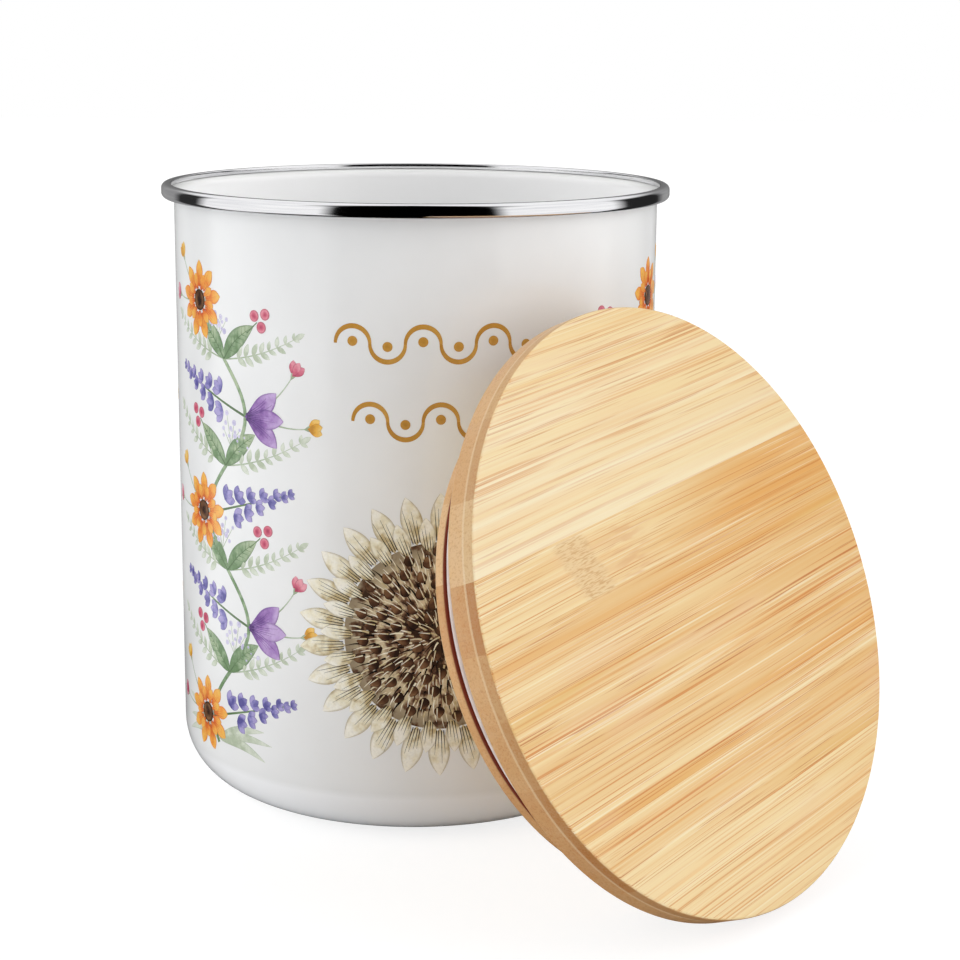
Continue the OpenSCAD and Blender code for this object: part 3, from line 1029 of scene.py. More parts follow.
@dataclass
class Ornament:
    """The print: five garlands, a flower head at the front and two rows of scrolls above it."""

    wall_r: float = 57.1
    shift: float = 5.37
    low: float = 17.0
    high: float = 126.75
    first_arc: float = 54.0
    stations: int = 9
    sway: float = 7.0
    stem_w: float = 1.0
    stem_steps: int = 72
    stem_shade: float = 0.2
    flower_off: float = 3.0
    daisy_r: float = 9.0
    eye_r: float = 2.4
    daisy_petals: int = 9
    daisy_fill: float = 0.8
    gap: float = 0.5
    bell_l: float = 11.0
    bell_w: float = 4.62
    bell_spread: float = 34.0
    bell_bend: float = 0.7
    leaf_l: float = 13.0
    leaf_w: float = 4.68
    leaf_lean: float = 50.0
    leaf_bend: Point = (0.3, 0.9)
    # A vein or a stalk ends a little before the tip
    vein_share: float = 0.94
    side_vein_lean: float = 48.0
    side_vein_share: float = 0.96
    berry_r: float = 1.3
    berry_out: float = 1.4
    spike_lean: float = 73.0
    spike_bare: float = 9.0
    spike_l: float = 28.0
    florets: int = 11
    floret_r: float = 1.9
    floret_shrink: float = 0.5
    floret_lean: float = 38.0
    floret_w: float = 1.15
    floret_back: float = 0.9
    floret_splay: float = 11.0
    spray_lean: Point = (72.0, 84.0)
    spray_l: Point = (21.0, 26.0)
    spray_steps: int = 9
    spray_curl: float = 2.5
    spray_leaf: Point = (3.9, 0.46)
    spray_leaf_less: float = 0.22
    spray_leaf_stray: float = 0.3
    spray_leaf_sway: float = 8.0
    spray_leaf_bend: float = 0.1
    spray_leaf_leans: Point = (-52.0, 46.0)
    spray_tip: Point = (3.2, 1.3)
    bud_turns: Point = (-52.0, -96.0)
    bud_off: float = 5.5
    bud_stalk: Point = (7.0, 9.5)
    bud_size: Point = (3.7, 2.0)
    bud_stray: float = 6.0
    bud_curl: float = 4.0
    bud_lean: float = 26.0
    cup: Point = (2.4, 1.3)
    cup_back: float = 0.9
    foot_turns: tuple[float, ...] = (-97, -84, -70, 72, 86, 98)
    foot_stray: float = 3.0
    foot_l: Point = (15.0, 23.0)
    foot_w: Point = (2.0, 2.8)
    foot_curve_deg: float = 60.0
    mist_lean: float = 24.0
    mist_off: float = 5.0
    mist_l: Point = (4.5, 8.0)
    blossom_r: Point = (0.4, 0.75)
    mist_turns: tuple[float, ...] = (-58, -34, -12, 12, 36, 60)
    blossoms: tuple[Point, ...] = ((1.0, 0.0), (0.72, 0.9), (0.5, -0.9))
    head_z: float = 49.5
    head_r: float = 21.0
    head_petals: int = 26
    head_petal: Point = (11.0, 4.87)
    seeds: int = 90
    seed_r: float = 1.41
    quills: int = 420
    quill_edge: float = 1.6
    quill_turn: float = 40.0
    quill_stray: float = 9.0
    quill_l: Point = (2.4, 4.2)
    quill_w: Point = (0.3, 0.55)
    quill_wave: float = 0.15
    quill_back: float = 0.4
    seed_w: float = 1.7
    glint_root: Point = (0.5, -1.0)
    glint_l: float = 2.6
    # Seeds follow each other by the golden angle
    seed_turn: float = 137.508
    scroll_rows: tuple[tuple[float, int], ...] = ((114.75, 6), (97.75, 5))
    scroll_r: float = 4.4
    scroll_line: float = 1.1
    scroll_steps: int = 24
    # Share of a scroll's width at its ends, and what it gains in the middle
    scroll_swell: Point = (0.62, 0.38)
    dice: random.Random = field(default_factory=lambda: random.Random(11))

    def __post_init__(self) -> None:
        """Works out where the garlands and their stations stand."""
        self.station_h = (self.high - self.low) / self.stations
        step = (math.pi * self.wall_r - self.first_arc) / 2
        self.garlands = [Spot(self.first_arc + k * step, self.low) for k in range(3)]
        self.garlands += [Spot(-self.first_arc - k * step, self.low, True) for k in range(2)]

    def sheets(self, count: int) -> list[PrintSheet]:
        """Empty sheets on this wall."""
        return [PrintSheet(self.wall_r, self.shift) for _ in range(count)]

    def stem(self, garland: Spot, y: float) -> Spot:
        """Where the swaying stem is at a height above the garland's foot."""
        return garland.moved(self.sway * math.cos(math.pi / 2 * (y / self.station_h - 0.5)), y)

    def on_stem(self, garland: Spot, i: int, turn: float = 0.0) -> Spot:
        """Where a station stands on the stem, turned by some degrees."""
        return self.stem(garland, (i + 0.5) * self.station_h).moved(0, 0, turn)

    def side(self, i: int) -> int:
        """Side of the stem on which a station's flower stands."""
        return 1 if i % 4 == 0 else -1

    def flower(self, garland: Spot, i: int) -> Spot:
        """Middle of a station's flower."""
        return self.on_stem(garland, i).moved(self.side(i) * self.flower_off, 0)

    def spikes(self, garland: Spot) -> Iterator[Spot]:
        """Foot and heading of each spike of a garland."""
        stations = range(0, self.stations - 1, 2)
        return (self.on_stem(garland, i, self.side(i) * self.spike_lean) for i in stations)

    def stops(self, first: int, step: int) -> Iterator[tuple[Spot, int]]:
        """Every garland with every so many of its stations."""
        return ((garland, i) for garland in self.garlands for i in range(first, self.stations, step))

    def build_leaves(self) -> None:
        """Stems, leaves and the stalks of the spikes, with their veins."""
        leaves, veins = self.sheets(2)
        for garland in self.garlands:
            heights = [k / self.stem_steps * (self.high - self.low) for k in range(self.stem_steps + 1)]
            leaves.blade([self.stem(garland, y).at() for y in heights], lambda t: self.stem_w / 2, 1,
                         self.stem_shade, 2)
            for i in range(1, self.stations, 2):
                for side in (-1, 1):
                    root = self.on_stem(garland, i, side * self.leaf_lean)
                    bend = self.dice.uniform(*self.leaf_bend) * side
                    leaves.petal(root, (self.leaf_l, self.leaf_w), Petal.LEAF, self.dice.random(), bend)
                    middle = root.ahead(self.leaf_l * self.vein_share, 10, bend)
                    veins.line(middle, Pen.MIDRIB, self.dice.random())
                    self._side_veins(veins, root, bend)
            for spike in self.spikes(garland):
                veins.line(spike.ahead(self.spike_l * self.vein_share, 16), Pen.SPIKE, self.dice.random())
        leaves.build("fired_leaves", Paint.LEAF, "print_green", "print_leaves")
        veins.build("fired_veins", Paint.VEIN, "print_green")

    def _side_veins(self, veins: PrintSheet, root: Spot, bend: float) -> None:
        """Draws the side veins of one leaf.

        Args:
            veins: sheet that they go on.
            root: the leaf's root.
            bend: how far its middle bows.
        """
        for share in (k / 9 for k in range(2, 8)):
            reach = Petal.LEAF.half(self.leaf_w)(share) * self.side_vein_share
            for side in (-1, 1):
                start = root.moved(bend * math.sin(math.pi * share), self.leaf_l * share,
                                   -side * self.side_vein_lean)
                veins.line(start.ahead(reach, 3), Pen.SIDE_VEIN, 0.5)

    def build_daisies(self) -> None:
        """Orange daisies in two rows of petals, with fine lines from their eyes."""
        petals, lines, eyes = self.sheets(3)
        width = math.pi * (self.daisy_r + self.eye_r) / self.daisy_petals * self.daisy_fill
        fan = Fan(Pen.DAISY, (-0.55, 0.0, 0.55), 0.6, 0.2, 9, (0.45, 0.7), 5)
        rows = Corolla(Petal.DAISY, fan, self.daisy_petals, self.eye_r + self.gap,
                       (self.daisy_r - self.eye_r - self.gap, width), (0.62, 0.75), self.gap, 0.3)
        for garland, i in self.stops(0, 4):
            centre = self.flower(garland, i)
            rows.draw(petals, lines, centre, self.dice)
            eyes.disc(centre.at(), self.eye_r, Dot.EYE, self.dice.random())
        petals.build("fired_daisies", Paint.ORANGE, "print_orange", "print_daisies")
        lines.build("fired_daisy_lines", Paint.ORANGE_LINE, "print_orange")
        eyes.build("fired_eyes", Paint.BROWN, "print_brown")

    def build_bells(self) -> None:
        """Violet bell flowers of three petals, with fine lines."""
        petals, lines = self.sheets(2)
        fan = Fan(Pen.BELL, (-0.7, -0.25, 0.25, 0.7), 0.5, 0.6, 7, (0.5, 0.75), 6)
        for garland, i in self.stops(2, 4):
            base = self.flower(garland, i).moved(self.flower_off, 0)
            for level, k in enumerate((-1, 1, 0)):
                spot = base.moved(0, 0, 90 + k * self.bell_spread)
                bend = self.bell_bend * k
                petals.petal(spot, (self.bell_l, self.bell_w), Petal.BELL, self.dice.random(), bend, level)
                fan.draw(lines, spot, self.bell_l, self.dice, 0, bend)
        petals.build("fired_bells", Paint.VIOLET, "print_violet", "print_bells")
        lines.build("fired_bell_lines", Paint.VIOLET_LINE, "print_violet")

    def build_spikes(self) -> None:
        """Blue florets in two rows along each spike, each of three small petals."""
        florets, = self.sheets(1)
        for spike in (spike for garland in self.garlands for spike in self.spikes(garland)):
            for k in range(self.florets):
                along = k / (self.florets - 1)
                radius = self.floret_r * (1 - self.floret_shrink * along)
                out = (1 if k % 2 == 0 else -1) * (1 - along) * (self.floret_r + self.gap / 2)
                middle = spike.moved(out, self.spike_bare + along * (self.spike_l - self.spike_bare))
                for level, side in enumerate((-1, 1, 0)):
                    turn = side * self.floret_lean - out * self.floret_splay
                    spot = middle.moved(0, -radius * self.floret_back, turn)
                    florets.petal(spot, (radius * 2, radius * self.floret_w), Petal.FLORET,
                                  self.dice.random(), 0, level)
        florets.build("fired_spikes", Paint.BLUE, "print_blue", "print_spikes")

    def build_berries(self) -> None:
        """Pink berries in threes, past the tip of the leaf that no flower covers."""
        berries, stalks = self.sheets(2)
        for garland, i in self.stops(1, 2):
            root = self.on_stem(garland, i, self.side(i + 1) * self.leaf_lean)
            bunch = root.moved(0, self.leaf_l + 2 * self.berry_r)
            for k in range(3):
                berry = bunch.moved(0, 0, 120 * k).moved(0, self.berry_out * self.berry_r)
                berries.disc(berry.at(), self.berry_r, Dot.BERRY, self.dice.random(), k % 2)
            stalks.line(root.moved(0, self.leaf_l * 0.8).ahead(4, 4), Pen.BERRY, 0.3)
        berries.build("fired_berries", Paint.PINK, "print_pink", "print_berries")
        stalks.build("fired_berry_stalks", Paint.VEIN, "print_green")

    def build_sprays(self) -> None:
        """A paler second layer behind the garlands: leafy sprays, foot leaves, buds and mist."""
        leaves, stalks, yellow, pink, mist = self.sheets(5)
        for garland in self.garlands:
            for i in range(1, self.stations, 2):
                for side in (-1, 1):
                    root = self.on_stem(garland, i, -side * self.dice.uniform(*self.spray_lean))
                    self._spray(leaves, stalks, root, side)
                root = self.on_stem(garland, i, -self.side(i + 1) * self.mist_lean)
                self._mist(mist, stalks, root.moved(0, self.mist_off))
            for i in range(0, self.stations, 2):
                for k, turn in enumerate(self.bud_turns):
                    heading = self.side(i) * (turn + self.dice.uniform(-self.bud_stray, self.bud_stray))
                    root = self.flower(garland, i).moved(0, 0, heading).moved(0, self.bud_off)
                    self._bud(pink if (i // 2 + k) % 2 else yellow, stalks, root, self.side(i))
            foot = self.stem(garland, 0.0).moved(0, 1)
            for turn in self.foot_turns:
                leaves.petal(foot.moved(0, 0, turn + self.dice.uniform(-self.foot_stray, self.foot_stray)),
                             (self.dice.uniform(*self.foot_l), self.dice.uniform(*self.foot_w)),
                             Petal.FOOT, self.dice.random(), turn / self.foot_curve_deg)
        leaves.build("fired_pale_leaves", Paint.PALE_LEAF, "print_green")
        stalks.build("fired_pale_stalks", Paint.PALE_STALK, "print_green")
        yellow.build("fired_yellow_buds", Paint.YELLOW, "print_orange")
        pink.build("fired_pink_buds", Paint.ROSE, "print_pink")
        mist.build("fired_mist", Paint.PALE_BLUE, "print_violet")

    def _spray(self, leaves: PrintSheet, stalks: PrintSheet, root: Spot, side: int) -> None:
        """Draws one leafy spray that curls upwards.

        Args:
            leaves: sheet of its leaves.
            stalks: sheet of its stalk.
            root: where it starts.
            side: side of the garland's stem that it grows to.
        """
        spots = root.curled(self.dice.uniform(*self.spray_l), self.spray_steps, side * self.spray_curl)
        for k, spot in enumerate(spots[2:], 2):
            stray = self.dice.uniform(-self.spray_leaf_stray, self.spray_leaf_stray)
            reach = self.spray_leaf[0] - self.spray_leaf_less * k + stray
            for lean in self.spray_leaf_leans:
                leaf = spot.moved(0, 0, lean + self.dice.uniform(-self.spray_leaf_sway, self.spray_leaf_sway))
                size = (reach, reach * self.spray_leaf[1])
                leaves.petal(leaf, size, Petal.SPRAY, self.dice.random(), self.spray_leaf_bend)
        leaves.petal(spots[-1], self.spray_tip, Petal.SPRAY_TIP, self.dice.random())
        stalks.line([spot.at() for spot in spots], Pen.SPRAY, self.dice.random())

    def _bud(self, buds: PrintSheet, stalks: PrintSheet, root: Spot, side: int) -> None:
        """Draws one bud of three petals on a thin stalk.

        Args:
            buds: sheet of its petals.
            stalks: sheet of its stalk.
            root: where the stalk starts.
            side: side of the garland's stem that it grows to.
        """
        spots = root.curled(self.dice.uniform(*self.bud_stalk), 5, side * self.bud_curl)
        stalks.line([spot.at() for spot in spots], Pen.BUD, self.dice.random())
        stalks.petal(spots[-1].moved(0, -self.cup_back), self.cup, Petal.CUP, self.dice.random())
        for level, k in enumerate((-1, 1, 0)):
            petal = spots[-1].moved(0, 0, k * self.bud_lean)
            buds.petal(petal, self.bud_size, Petal.BUD, self.dice.random(), 0, level)

    def _mist(self, mist: PrintSheet, stalks: PrintSheet, root: Spot) -> None:
        """Draws a cloud of tiny blossoms on hair-thin stalks.

        Args:
            mist: sheet of the blossoms.
            stalks: sheet of the stalks.
            root: where the stalks part.
        """
        for turn in self.mist_turns:
            reach = self.dice.uniform(*self.mist_l)
            tip = root.moved(0, 0, turn)
            stalks.line(tip.ahead(reach, 4), Pen.MIST, self.dice.random())
            for out, aside in self.blossoms:
                radius = self.dice.uniform(*self.blossom_r)
                mist.disc(tip.at(aside, reach * out), radius, Dot.MIST, self.dice.random())

    def _sown(self, k: int, count: int, reach: float, start: float = 0.0) -> Spot:
        """Place of one of many seeds, spread evenly over the head, heading outwards."""
        middle = Spot(0.0, self.head_z).moved(0, 0, start - k * self.seed_turn)
        return middle.moved(0, reach * math.sqrt((k + 0.5) / count))

    def build_head(self) -> None:
        """The flower head at the front: mottled wash, seeds, two rows of petals and fine strokes."""
        wash, seeds, petals, strokes, ink = self.sheets(5)
        centre, edge = Spot(0.0, self.head_z), self.head_r + self.gap
        wash.disc(centre.at(), edge, Dot.WASH, 0.5)
        for k in range(self.quills):
            spot = self._sown(k, self.quills, self.head_r - self.quill_edge, self.quill_turn)
            spot = spot.moved(0, 0, self.dice.uniform(-self.quill_stray, self.quill_stray))
            reach = self.dice.uniform(*self.quill_l)
            path = [spot.at(self.quill_wave * math.sin(t), reach * (t / 4 - self.quill_back))
                    for t in range(5)]
            sheet, raised = (strokes, 0) if k % 3 else (ink, 1)
            width = self.dice.uniform(*self.quill_w)
            sheet.line(path, Pen.QUILL, self.dice.random(), raised, width)
        for k in range(self.seeds):
            spot = self._sown(k, self.seeds, self.head_r - self.seed_r)
            seeds.petal(spot.moved(0, -self.seed_r), (2 * self.seed_r, self.seed_w * self.seed_r), Petal.SEED,
                        self.dice.random())
            strokes.line(spot.moved(*self.glint_root).ahead(self.glint_l, 4), Pen.GLINT, self.dice.random())
        fan = Fan(Pen.HEAD, (-0.8, -0.3, 0.3, 0.8), 1.0, 0.4, 5, (0.35, 0.75), 5, own_shade=True)
        rows = Corolla(Petal.HEAD, fan, self.head_petals, edge, self.head_petal, (0.7, 0.8), 2.0, 0.4, -1)
        rows.draw(petals, ink, centre, self.dice)
        wash.build("fired_head_wash", Paint.WASH, "print_brown")
        seeds.build("fired_seeds", Paint.BROWN, "print_brown", "print_seeds")
        petals.build("fired_head_petals", Paint.CREAM, "print_cream", "print_head_petals")
        strokes.build("fired_seed_glints", Paint.CREAM, "print_cream")
        ink.build("fired_head_lines", Paint.INK, "print_brown")

    def _scroll_half(self, t: float) -> float:
        """Half width of a scroll by share of its length."""
        return self.scroll_line / 2 * (self.scroll_swell[0] + self.scroll_swell[1] * math.sin(math.pi * t))

    def build_scrolls(self) -> None:
        """Gold scrolls: two running rows of half rings, each with a dot."""
        gold, = self.sheets(1)
        pitch = 2 * self.scroll_r - self.scroll_line
        middle_r = self.scroll_r - self.scroll_line / 2
        turns = [math.pi * t / self.scroll_steps for t in range(self.scroll_steps + 1)]
        for z, count in self.scroll_rows:
            for k in range(count):
                up = 1 if k % 2 == 0 else -1
                x = (k - (count - 1) / 2) * pitch
                path = [(x - middle_r * math.cos(t), z + up * middle_r * math.sin(t)) for t in turns]
                gold.blade(path, self._scroll_half, 2 + k % 2, self.dice.random())
                dot = (x, z + up * self.scroll_line / 2)
                gold.disc(dot, self.scroll_line, Dot.SCROLL, self.dice.random())
        gold.build("fired_scrolls", Paint.GOLD, "print_gold", "print_scrolls")

    def build(self) -> None:
        """Draws the whole print."""
        for draw in (self.build_leaves, self.build_daisies, self.build_bells, self.build_spikes,
                     self.build_berries, self.build_sprays, self.build_head, self.build_scrolls):
            draw()


# Tin and lid

@dataclass
class Tin:
    """The enamelled pot and the steel ring around its mouth, in millimetres."""

    height: float = 145.0
    wall_r: float = 57.1
    wall_t: float = 0.8
    corner_r: float = 15.0
    lip_bend_r: float = 1.5
    lip_flat: float = 0.6
    lip_edge: float = 0.3
    ring_r: float = 60.0
    ring_h: float = 3.25
    ring_t: float = 0.4
    ring_band: float = 2.3
    ring_skirt_h: float = 1.2
    ring_edge_r: float = 1.1
    ring_inner_r: float = 0.35
    seat_gap: float = 0.08
    segments: int = 360

    def __post_init__(self) -> None:
        """Works out the lip's heights."""
        self.lip_top = self.height - self.ring_skirt_h - self.seat_gap
        self.bend_z = self.lip_top - self.wall_t - self.lip_bend_r
        self.lip_r = self.wall_r + self.lip_bend_r

    def pot_outline(self) -> list[Point]:
        """Section of the pot.

        Returns:
            Its outline, from the middle of its base outwards and back inside.
        """
        edge = self.lip_edge
        floor = (self.wall_r - self.corner_r, self.corner_r)
        rim = self.lip_r + self.lip_flat - edge
        bend = (self.lip_r, self.bend_z)
        return outlined(
            (0.0, 0.0), (*floor, self.corner_r, -90, 0, 18), (*bend, self.lip_bend_r, 180, 90, 8),
            (rim, self.lip_top - self.wall_t + edge, edge, -90, 0, 4),
            (rim, self.lip_top - edge, edge, 0, 90, 4),
            (*bend, self.lip_bend_r + self.wall_t, 90, 180, 10),
            (*floor, self.corner_r - self.wall_t, 0, -90, 18), (0.0, self.wall_t))

    def ring_outline(self) -> list[Point]:
        """Section of the rolled ring.

        Returns:
            Its outline: skirt, top band, rounded face and leg.
        """
        top, low = self.height, self.height - self.ring_h
        skirt_in, skirt_low = self.ring_r - self.ring_band, top - self.ring_skirt_h
        skirt_out = skirt_in + self.ring_t
        rise = max(0.0, low + self.ring_t - self.bend_z)
        leg_in = self.lip_r - math.sqrt(self.lip_bend_r ** 2 - rise ** 2) + self.seat_gap
        edge, inner, bead = self.ring_edge_r, self.ring_edge_r - self.ring_t, self.ring_inner_r
        out = self.ring_r - edge
        return outlined(
            (skirt_in, skirt_low), (skirt_in + bead, top - bead, bead, 180, 90, 6),
            (out, top - edge, edge, 90, 0, 12), (out, low + edge, edge, 0, -90, 12),
            (leg_in, low), (leg_in, low + self.ring_t),
            (out, low + edge, inner, -90, 0, 6), (out, top - edge, inner, 0, 90, 6),
            (skirt_out, top - self.ring_t), (skirt_out, skirt_low))

    def build(self) -> None:
        """Builds and dresses the pot and its ring."""
        pot = turned("enamelled_pot", self.pot_outline(), self.segments)
        settle(pot, VitreousEnamel().material(), "enamel", "tin_body")
        ring = turned("steel_rim_ring", self.ring_outline(), self.segments)
        settle(ring, PolishedSteel().material(), "steel", "rim_ring")


@dataclass
class Lid:
    """The bamboo lid and its seal, drawn with the top face at height 0 and leaned on the wall."""

    plate_r: float = 65.5
    plate_t: float = 7.0
    plate_ease: float = 0.6
    flange_r: float = 56.0
    flange_ease: float = 1.2
    flange_t: float = 3.0
    groove_r: float = 53.4
    groove_w: float = 11.0
    seal_gap: float = 0.08
    seal_w: float = 7.0
    seal_drop: float = 1.3
    seal_t: float = 1.6
    fin_t: float = 1.1
    fin_r: float = 58.0
    fins: int = 3
    heading_deg: float = 47.3
    lean_deg: float = 22.5
    shift: float = -18.5
    wall_reach: float = 57.42
    board_segments: int = 320
    seal_segments: int = 256

    def __post_init__(self) -> None:
        """Works out the lid's depths."""
        self.flange_top = -self.plate_t - self.groove_w
        self.low = self.flange_top - self.flange_t
        self.seal_top = -self.plate_t - self.seal_drop
        self.seal_low = self.seal_top - self.seal_w

    def stand_off(self, radius: float, depth: float, ease: float) -> float:
        """Distance from the tin's axis at which a round edge of the lid just clears the wall.

        Args:
            radius: the edge's radius.
            depth: how far behind the top face its far side is.
            ease: radius of its rounding.

        Returns:
            The distance along the lid's heading, in millimetres.
        """
        lean, reach, found = math.radians(self.lean_deg), self.wall_reach + ease, 0.0
        for turn in (math.radians(degree) for degree in range(181)):
            side = self.shift + (radius - ease) * math.cos(turn)
            if abs(side) < reach:
                rise = (radius - ease) * math.sin(turn) * math.sin(lean)
                found = max(found, math.sqrt(reach ** 2 - side ** 2) + rise)
        return found + (depth - ease) * math.cos(lean)

    def stand_up(self, radius: float, depth: float, ease: float) -> float:
        """Height of the lid's middle at which a round edge just touches the floor."""
        lean = math.radians(self.lean_deg)
        return (depth - ease) * math.sin(lean) + (radius - ease) * math.cos(lean) + ease

    def placement(self) -> Matrix:
        """Where the lid leans.

        Returns:
            Its place in the frame, in metres.
        """
        plate = (self.plate_r, self.plate_t, self.plate_ease)
        flange = (self.flange_r, -self.low, self.flange_ease)
        fin = (self.fin_r, -self.seal_low, self.fin_t / 2)
        out = max(self.stand_off(*edge) for edge in (plate, flange, fin))
        up = max(self.stand_up(*edge) for edge in (plate, flange))
        return (Matrix.Rotation(math.radians(self.heading_deg), 4, "Z")
                @ Matrix.Translation(Vector((self.shift, -out, up)) * MM)
                @ Matrix.Rotation(math.radians(90 - self.lean_deg), 4, "X"))

    def board_outline(self) -> list[Point]:
        """Section of the turned bamboo.

        Returns:
            Its outline: flange, groove and plate.
        """
        ease, low_ease, inner = self.plate_ease, self.flange_ease, self.flange_ease / 2
        rim = self.plate_r - ease
        return outlined(
            (0.0, self.low), (self.flange_r - low_ease, self.low + low_ease, low_ease, -90, 0, 8),
            (self.flange_r - inner, self.flange_top - inner, inner, 0, 90, 6),
            (self.groove_r, self.flange_top), (self.groove_r, -self.plate_t),
            (rim, ease - self.plate_t, ease, -90, 0, 6), (rim, -ease, ease, 0, 90, 6), (0.0, 0.0))

    def seal_outline(self) -> list[Point]:
        """Section of the seal.

        Returns:
            Its outline: a band with round-edged fins.
        """
        inside, tip = self.groove_r + self.seal_gap, self.fin_t / 2
        outside = inside + self.seal_t
        pitch = (self.seal_w - self.fin_t) / (self.fins - 1)
        feet = [self.seal_low + i * pitch for i in range(self.fins)]
        runs = [run for z in feet for run in (
            (self.fin_r - tip, z + tip, tip, -90, 90, 8), (outside, z + self.fin_t), (outside, z + pitch))]
        # No gap follows the last fin
        return outlined((inside, self.seal_low), *runs[:-2], (inside, self.seal_top))

    def build(self) -> None:
        """Builds and dresses the lid and its seal."""
        place = self.placement()
        board = turned("bamboo_board", self.board_outline(), self.board_segments)
        seal = turned("silicone_seal", self.seal_outline(), self.seal_segments)
        for piece in (board, seal):
            piece.data.transform(place)
        settle(board, LaminatedBamboo().material(place.inverted()), "bamboo", "bamboo_lid")
        settle(seal, MouldedSilicone().material(), "silicone", "lid_seal")


# Studio

@dataclass
class Studio:
    """Pale floor, soft light from both sides with a dark gap in front, and the camera."""

    camera_at: Point3 = (0.0, -0.51897, 0.18693)
    yaw: float = 0.0301
    pitch: float = 0.2171
    roll: float = 0.0069
    lens_mm: float = 81.43
    sensor_mm: float = 36.0
    near_m: float = 0.01
    floor_m: float = 6.0
    floor_z: float = -0.0002
    # Bright paper, a little cool, as its whitener makes it
    paper: str = "#F3F6FA"
    # The camera sees it as plain white, apart from the shadows
    shown_grey: float = 0.3
    shown_glow: float = 0.8
    # Grey levels by heading from the front, in degrees, of what polished steel sees: first low down
    # and in the floor, then high up
    low_levels: tuple[Point, ...] = (
        (-180, 0.12), (-155, 0.32), (-136, 0.3), (-128, 0.03), (-112, 0.03), (-104, 1.0), (-42, 1.0),
        (-35, 0.0), (33, 0.0), (40, 1.0), (96, 1.0), (106, 0.02), (136, 0.02), (146, 0.3), (155, 0.32),
        (180, 0.12))
    high_levels: tuple[Point, ...] = (
        (-180, 1.0), (-60, 1.0), (-38, 0.0), (36, 0.0), (58, 1.0), (180, 1.0))
    high: Point = (0.3, 0.55)
    # Polished steel sees a painted shadow on the floor around the tin, fading out between these radii
    painted_shadow_m: Point = (0.1, 0.21)
    # The same for what lights the rest: a soft box on each side, paper behind, and a little from above
    soft_levels: tuple[Point, ...] = (
        (-180, 0.22), (-114, 0.22), (-98, 0.4), (-78, 0.6), (-62, 0.74), (-52, 0.42), (-40, 0.28),
        (-30, 0.03), (30, 0.03), (38, 0.28), (48, 0.34), (56, 1.0), (70, 1.0), (82, 0.42), (106, 0.3),
        (118, 0.22), (180, 0.22))
    soft_level: float = 3.6
    above: Point = (0.72, 0.92)
    above_level: float = 0.62
    # Light that the left box spills on the floor, by heading from the front
    spill_levels: tuple[Point, ...] = (
        (-180, 0.0), (-110, 0.0), (-80, 1.0), (-45, 1.0), (-10, 0.0), (180, 0.0))
    spill_level: float = 0.12

    def build_camera(self) -> None:
        """Makes the camera, looking down on the tin."""
        level = Vector((math.cos(self.yaw), -math.sin(self.yaw), 0.0))
        ahead = Vector((math.sin(self.yaw), math.cos(self.yaw), 0.0))
        forward = math.cos(self.pitch) * ahead - math.sin(self.pitch) * Vector((0.0, 0.0, 1.0))
        upward = level.cross(forward)
        right = math.cos(self.roll) * level + math.sin(self.roll) * upward
        up = -math.sin(self.roll) * level + math.cos(self.roll) * upward
        data = bpy.data.cameras.new("camera")
        data.lens, data.sensor_width, data.clip_start = self.lens_mm, self.sensor_mm, self.near_m
        camera = bpy.data.objects.new("camera", data)
        axes = Matrix((right, up, -forward)).transposed().to_4x4()
        camera.matrix_world = Matrix.Translation(self.camera_at) @ axes
        bpy.context.scene.collection.objects.link(camera)
        bpy.context.scene.camera = camera

    def build_floor(self) -> None:
        """Makes the floor, which the camera sees as white and which keeps the shadows."""
        half = self.floor_m / 2
        mesh = bpy.data.meshes.new("floor")
        corners = [(-half, -half, 0), (half, -half, 0), (half, half, 0), (-half, half, 0)]
        mesh.from_pydata(corners, [], [(0, 1, 2, 3)])
        floor = bpy.data.objects.new("floor", mesh)
        floor.location.z = self.floor_z
        bpy.context.scene.collection.objects.link(floor)
        material = bpy.data.materials.new("studio_floor")
        add = fresh_tree(material)
        ray = add("LightPath").outputs
        place = add("TexCoord").outputs["Object"]
        shown = add("AddShader", (add("BsdfDiffuse", {"Color": grey(self.shown_grey)}),
                                  add("Emission", {"Strength": self.shown_glow})))
        spill = add("Emission", {
            "Color": self._turn_ramp(add, place, self.spill_levels), "Strength": self.spill_level})
        plain = add("AddShader", (add("BsdfDiffuse", {"Color": linear(self.paper)}), spill))
        # Polished steel sees the floor as it sees the room above it, with the same dark gaps
        # Near the tin, the floor that steel sees is darkened: a painted shadow
        away = add("VectorMath", (place,), operation="LENGTH").outputs["Value"]
        clear = add("MapRange", {"Value": away, "From Min": self.painted_shadow_m[0], "From Max": self.painted_shadow_m[1]},
                    interpolation_type="SMOOTHSTEP")
        mirrored = add("Emission", {
            "Color": self._turn_ramp(add, place, self.low_levels), "Strength": clear})
        seen = add("Math", (ray["Is Camera Ray"], ray["Is Transmission Ray"]), operation="MAXIMUM")
        mixed = add("MixShader", (seen, plain, shown))
        mixed = add("MixShader", (ray["Is Glossy Ray"], mixed, mirrored))
        add("OutputMaterial", {"Surface": mixed})
        mesh.materials.append(material)

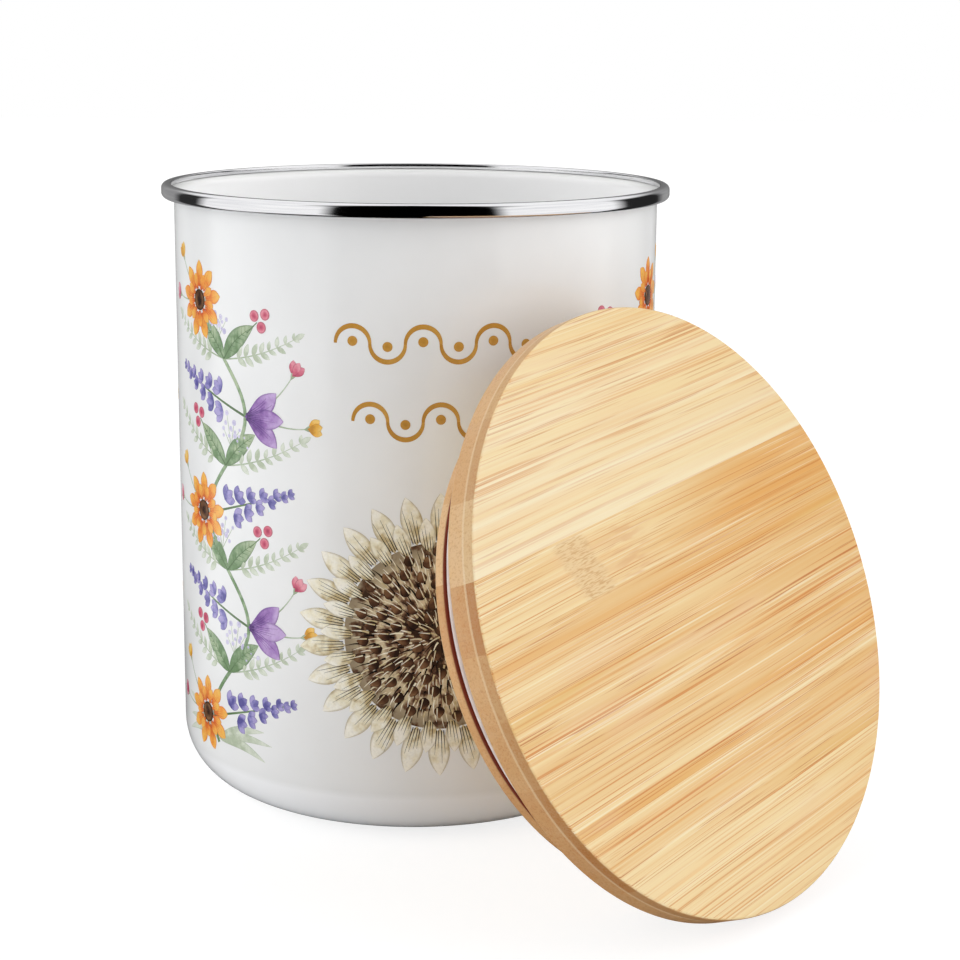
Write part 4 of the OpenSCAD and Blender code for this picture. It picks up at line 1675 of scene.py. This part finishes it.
    def build_world(self) -> None:
        """Makes the surroundings: white to the camera, and soft boxes with dark gaps to the rest."""
        world = bpy.data.worlds.new("studio")
        bpy.context.scene.world = world
        add = fresh_tree(world)
        heading = add("TexCoord").outputs["Generated"]
        height = add("SeparateXYZ", (heading,)).outputs[2]
        high, above = (add("MapRange", {"Value": height, "From Min": start, "From Max": full},
                           interpolation_type="SMOOTHSTEP") for start, full in (self.high, self.above))
        low_ramp, high_ramp, soft_ramp = (self._turn_ramp(add, heading, levels) for levels in (
            self.low_levels, self.high_levels, self.soft_levels))
        boxes = add("VectorMath", {0: soft_ramp, "Scale": self.soft_level}, operation="SCALE")
        mirror, soft = (add("Mix", {0: share, 6: under, 7: over}, data_type="RGBA").outputs[2]
                        for share, under, over in (
                            (high, low_ramp, high_ramp), (above, boxes, grey(self.above_level))))
        ray = add("LightPath").outputs
        glossy = add("Math", (ray["Is Glossy Ray"], ray["Is Transmission Ray"]), operation="MAXIMUM")
        light = soft
        for share, over in ((glossy, mirror), (ray["Is Camera Ray"], grey(WHITE))):
            light = add("Mix", {0: share, 6: light, 7: over}, data_type="RGBA").outputs[2]
        add("OutputWorld", {"Surface": add("Background", {"Color": light, "Strength": 1.0})})

    @staticmethod
    def _turn_ramp(add: AddNode, place: Socket, levels: Sequence[Point]) -> Node:
        """Adds a ramp of grey levels by heading around the tin.

        Args:
            add: adds a node to the tree.
            place: a point or a direction, seen from the tin's axis.
            levels: heading in degrees from the front, and linear grey level there.

        Returns:
            The ramp's node.
        """
        side, back, _ = add("SeparateXYZ", (place,)).outputs
        front = add("Math", (back, -1.0), operation="MULTIPLY")
        turn = add("Math", (side, front), operation="ARCTAN2")
        share = add("MapRange", {"Value": turn, "From Min": -math.pi, "From Max": math.pi})
        return add("ValToRGB", {"Fac": share}, [((heading + 180) / 360, level) for heading, level in levels])

    def build(self) -> None:
        """Sets up the camera, the floor and the light."""
        self.build_camera()
        self.build_floor()
        self.build_world()
        bpy.context.scene.view_settings.view_transform = "Standard"


def main() -> None:
    """Builds the studio, the tin, its print and its lid, in that order."""
    logging.basicConfig(level=logging.INFO, format="%(name)s %(message)s")
    for thing in (Studio(), Tin(), Ornament(), Lid()):
        thing.build()


if __name__ == "__main__":
    main()
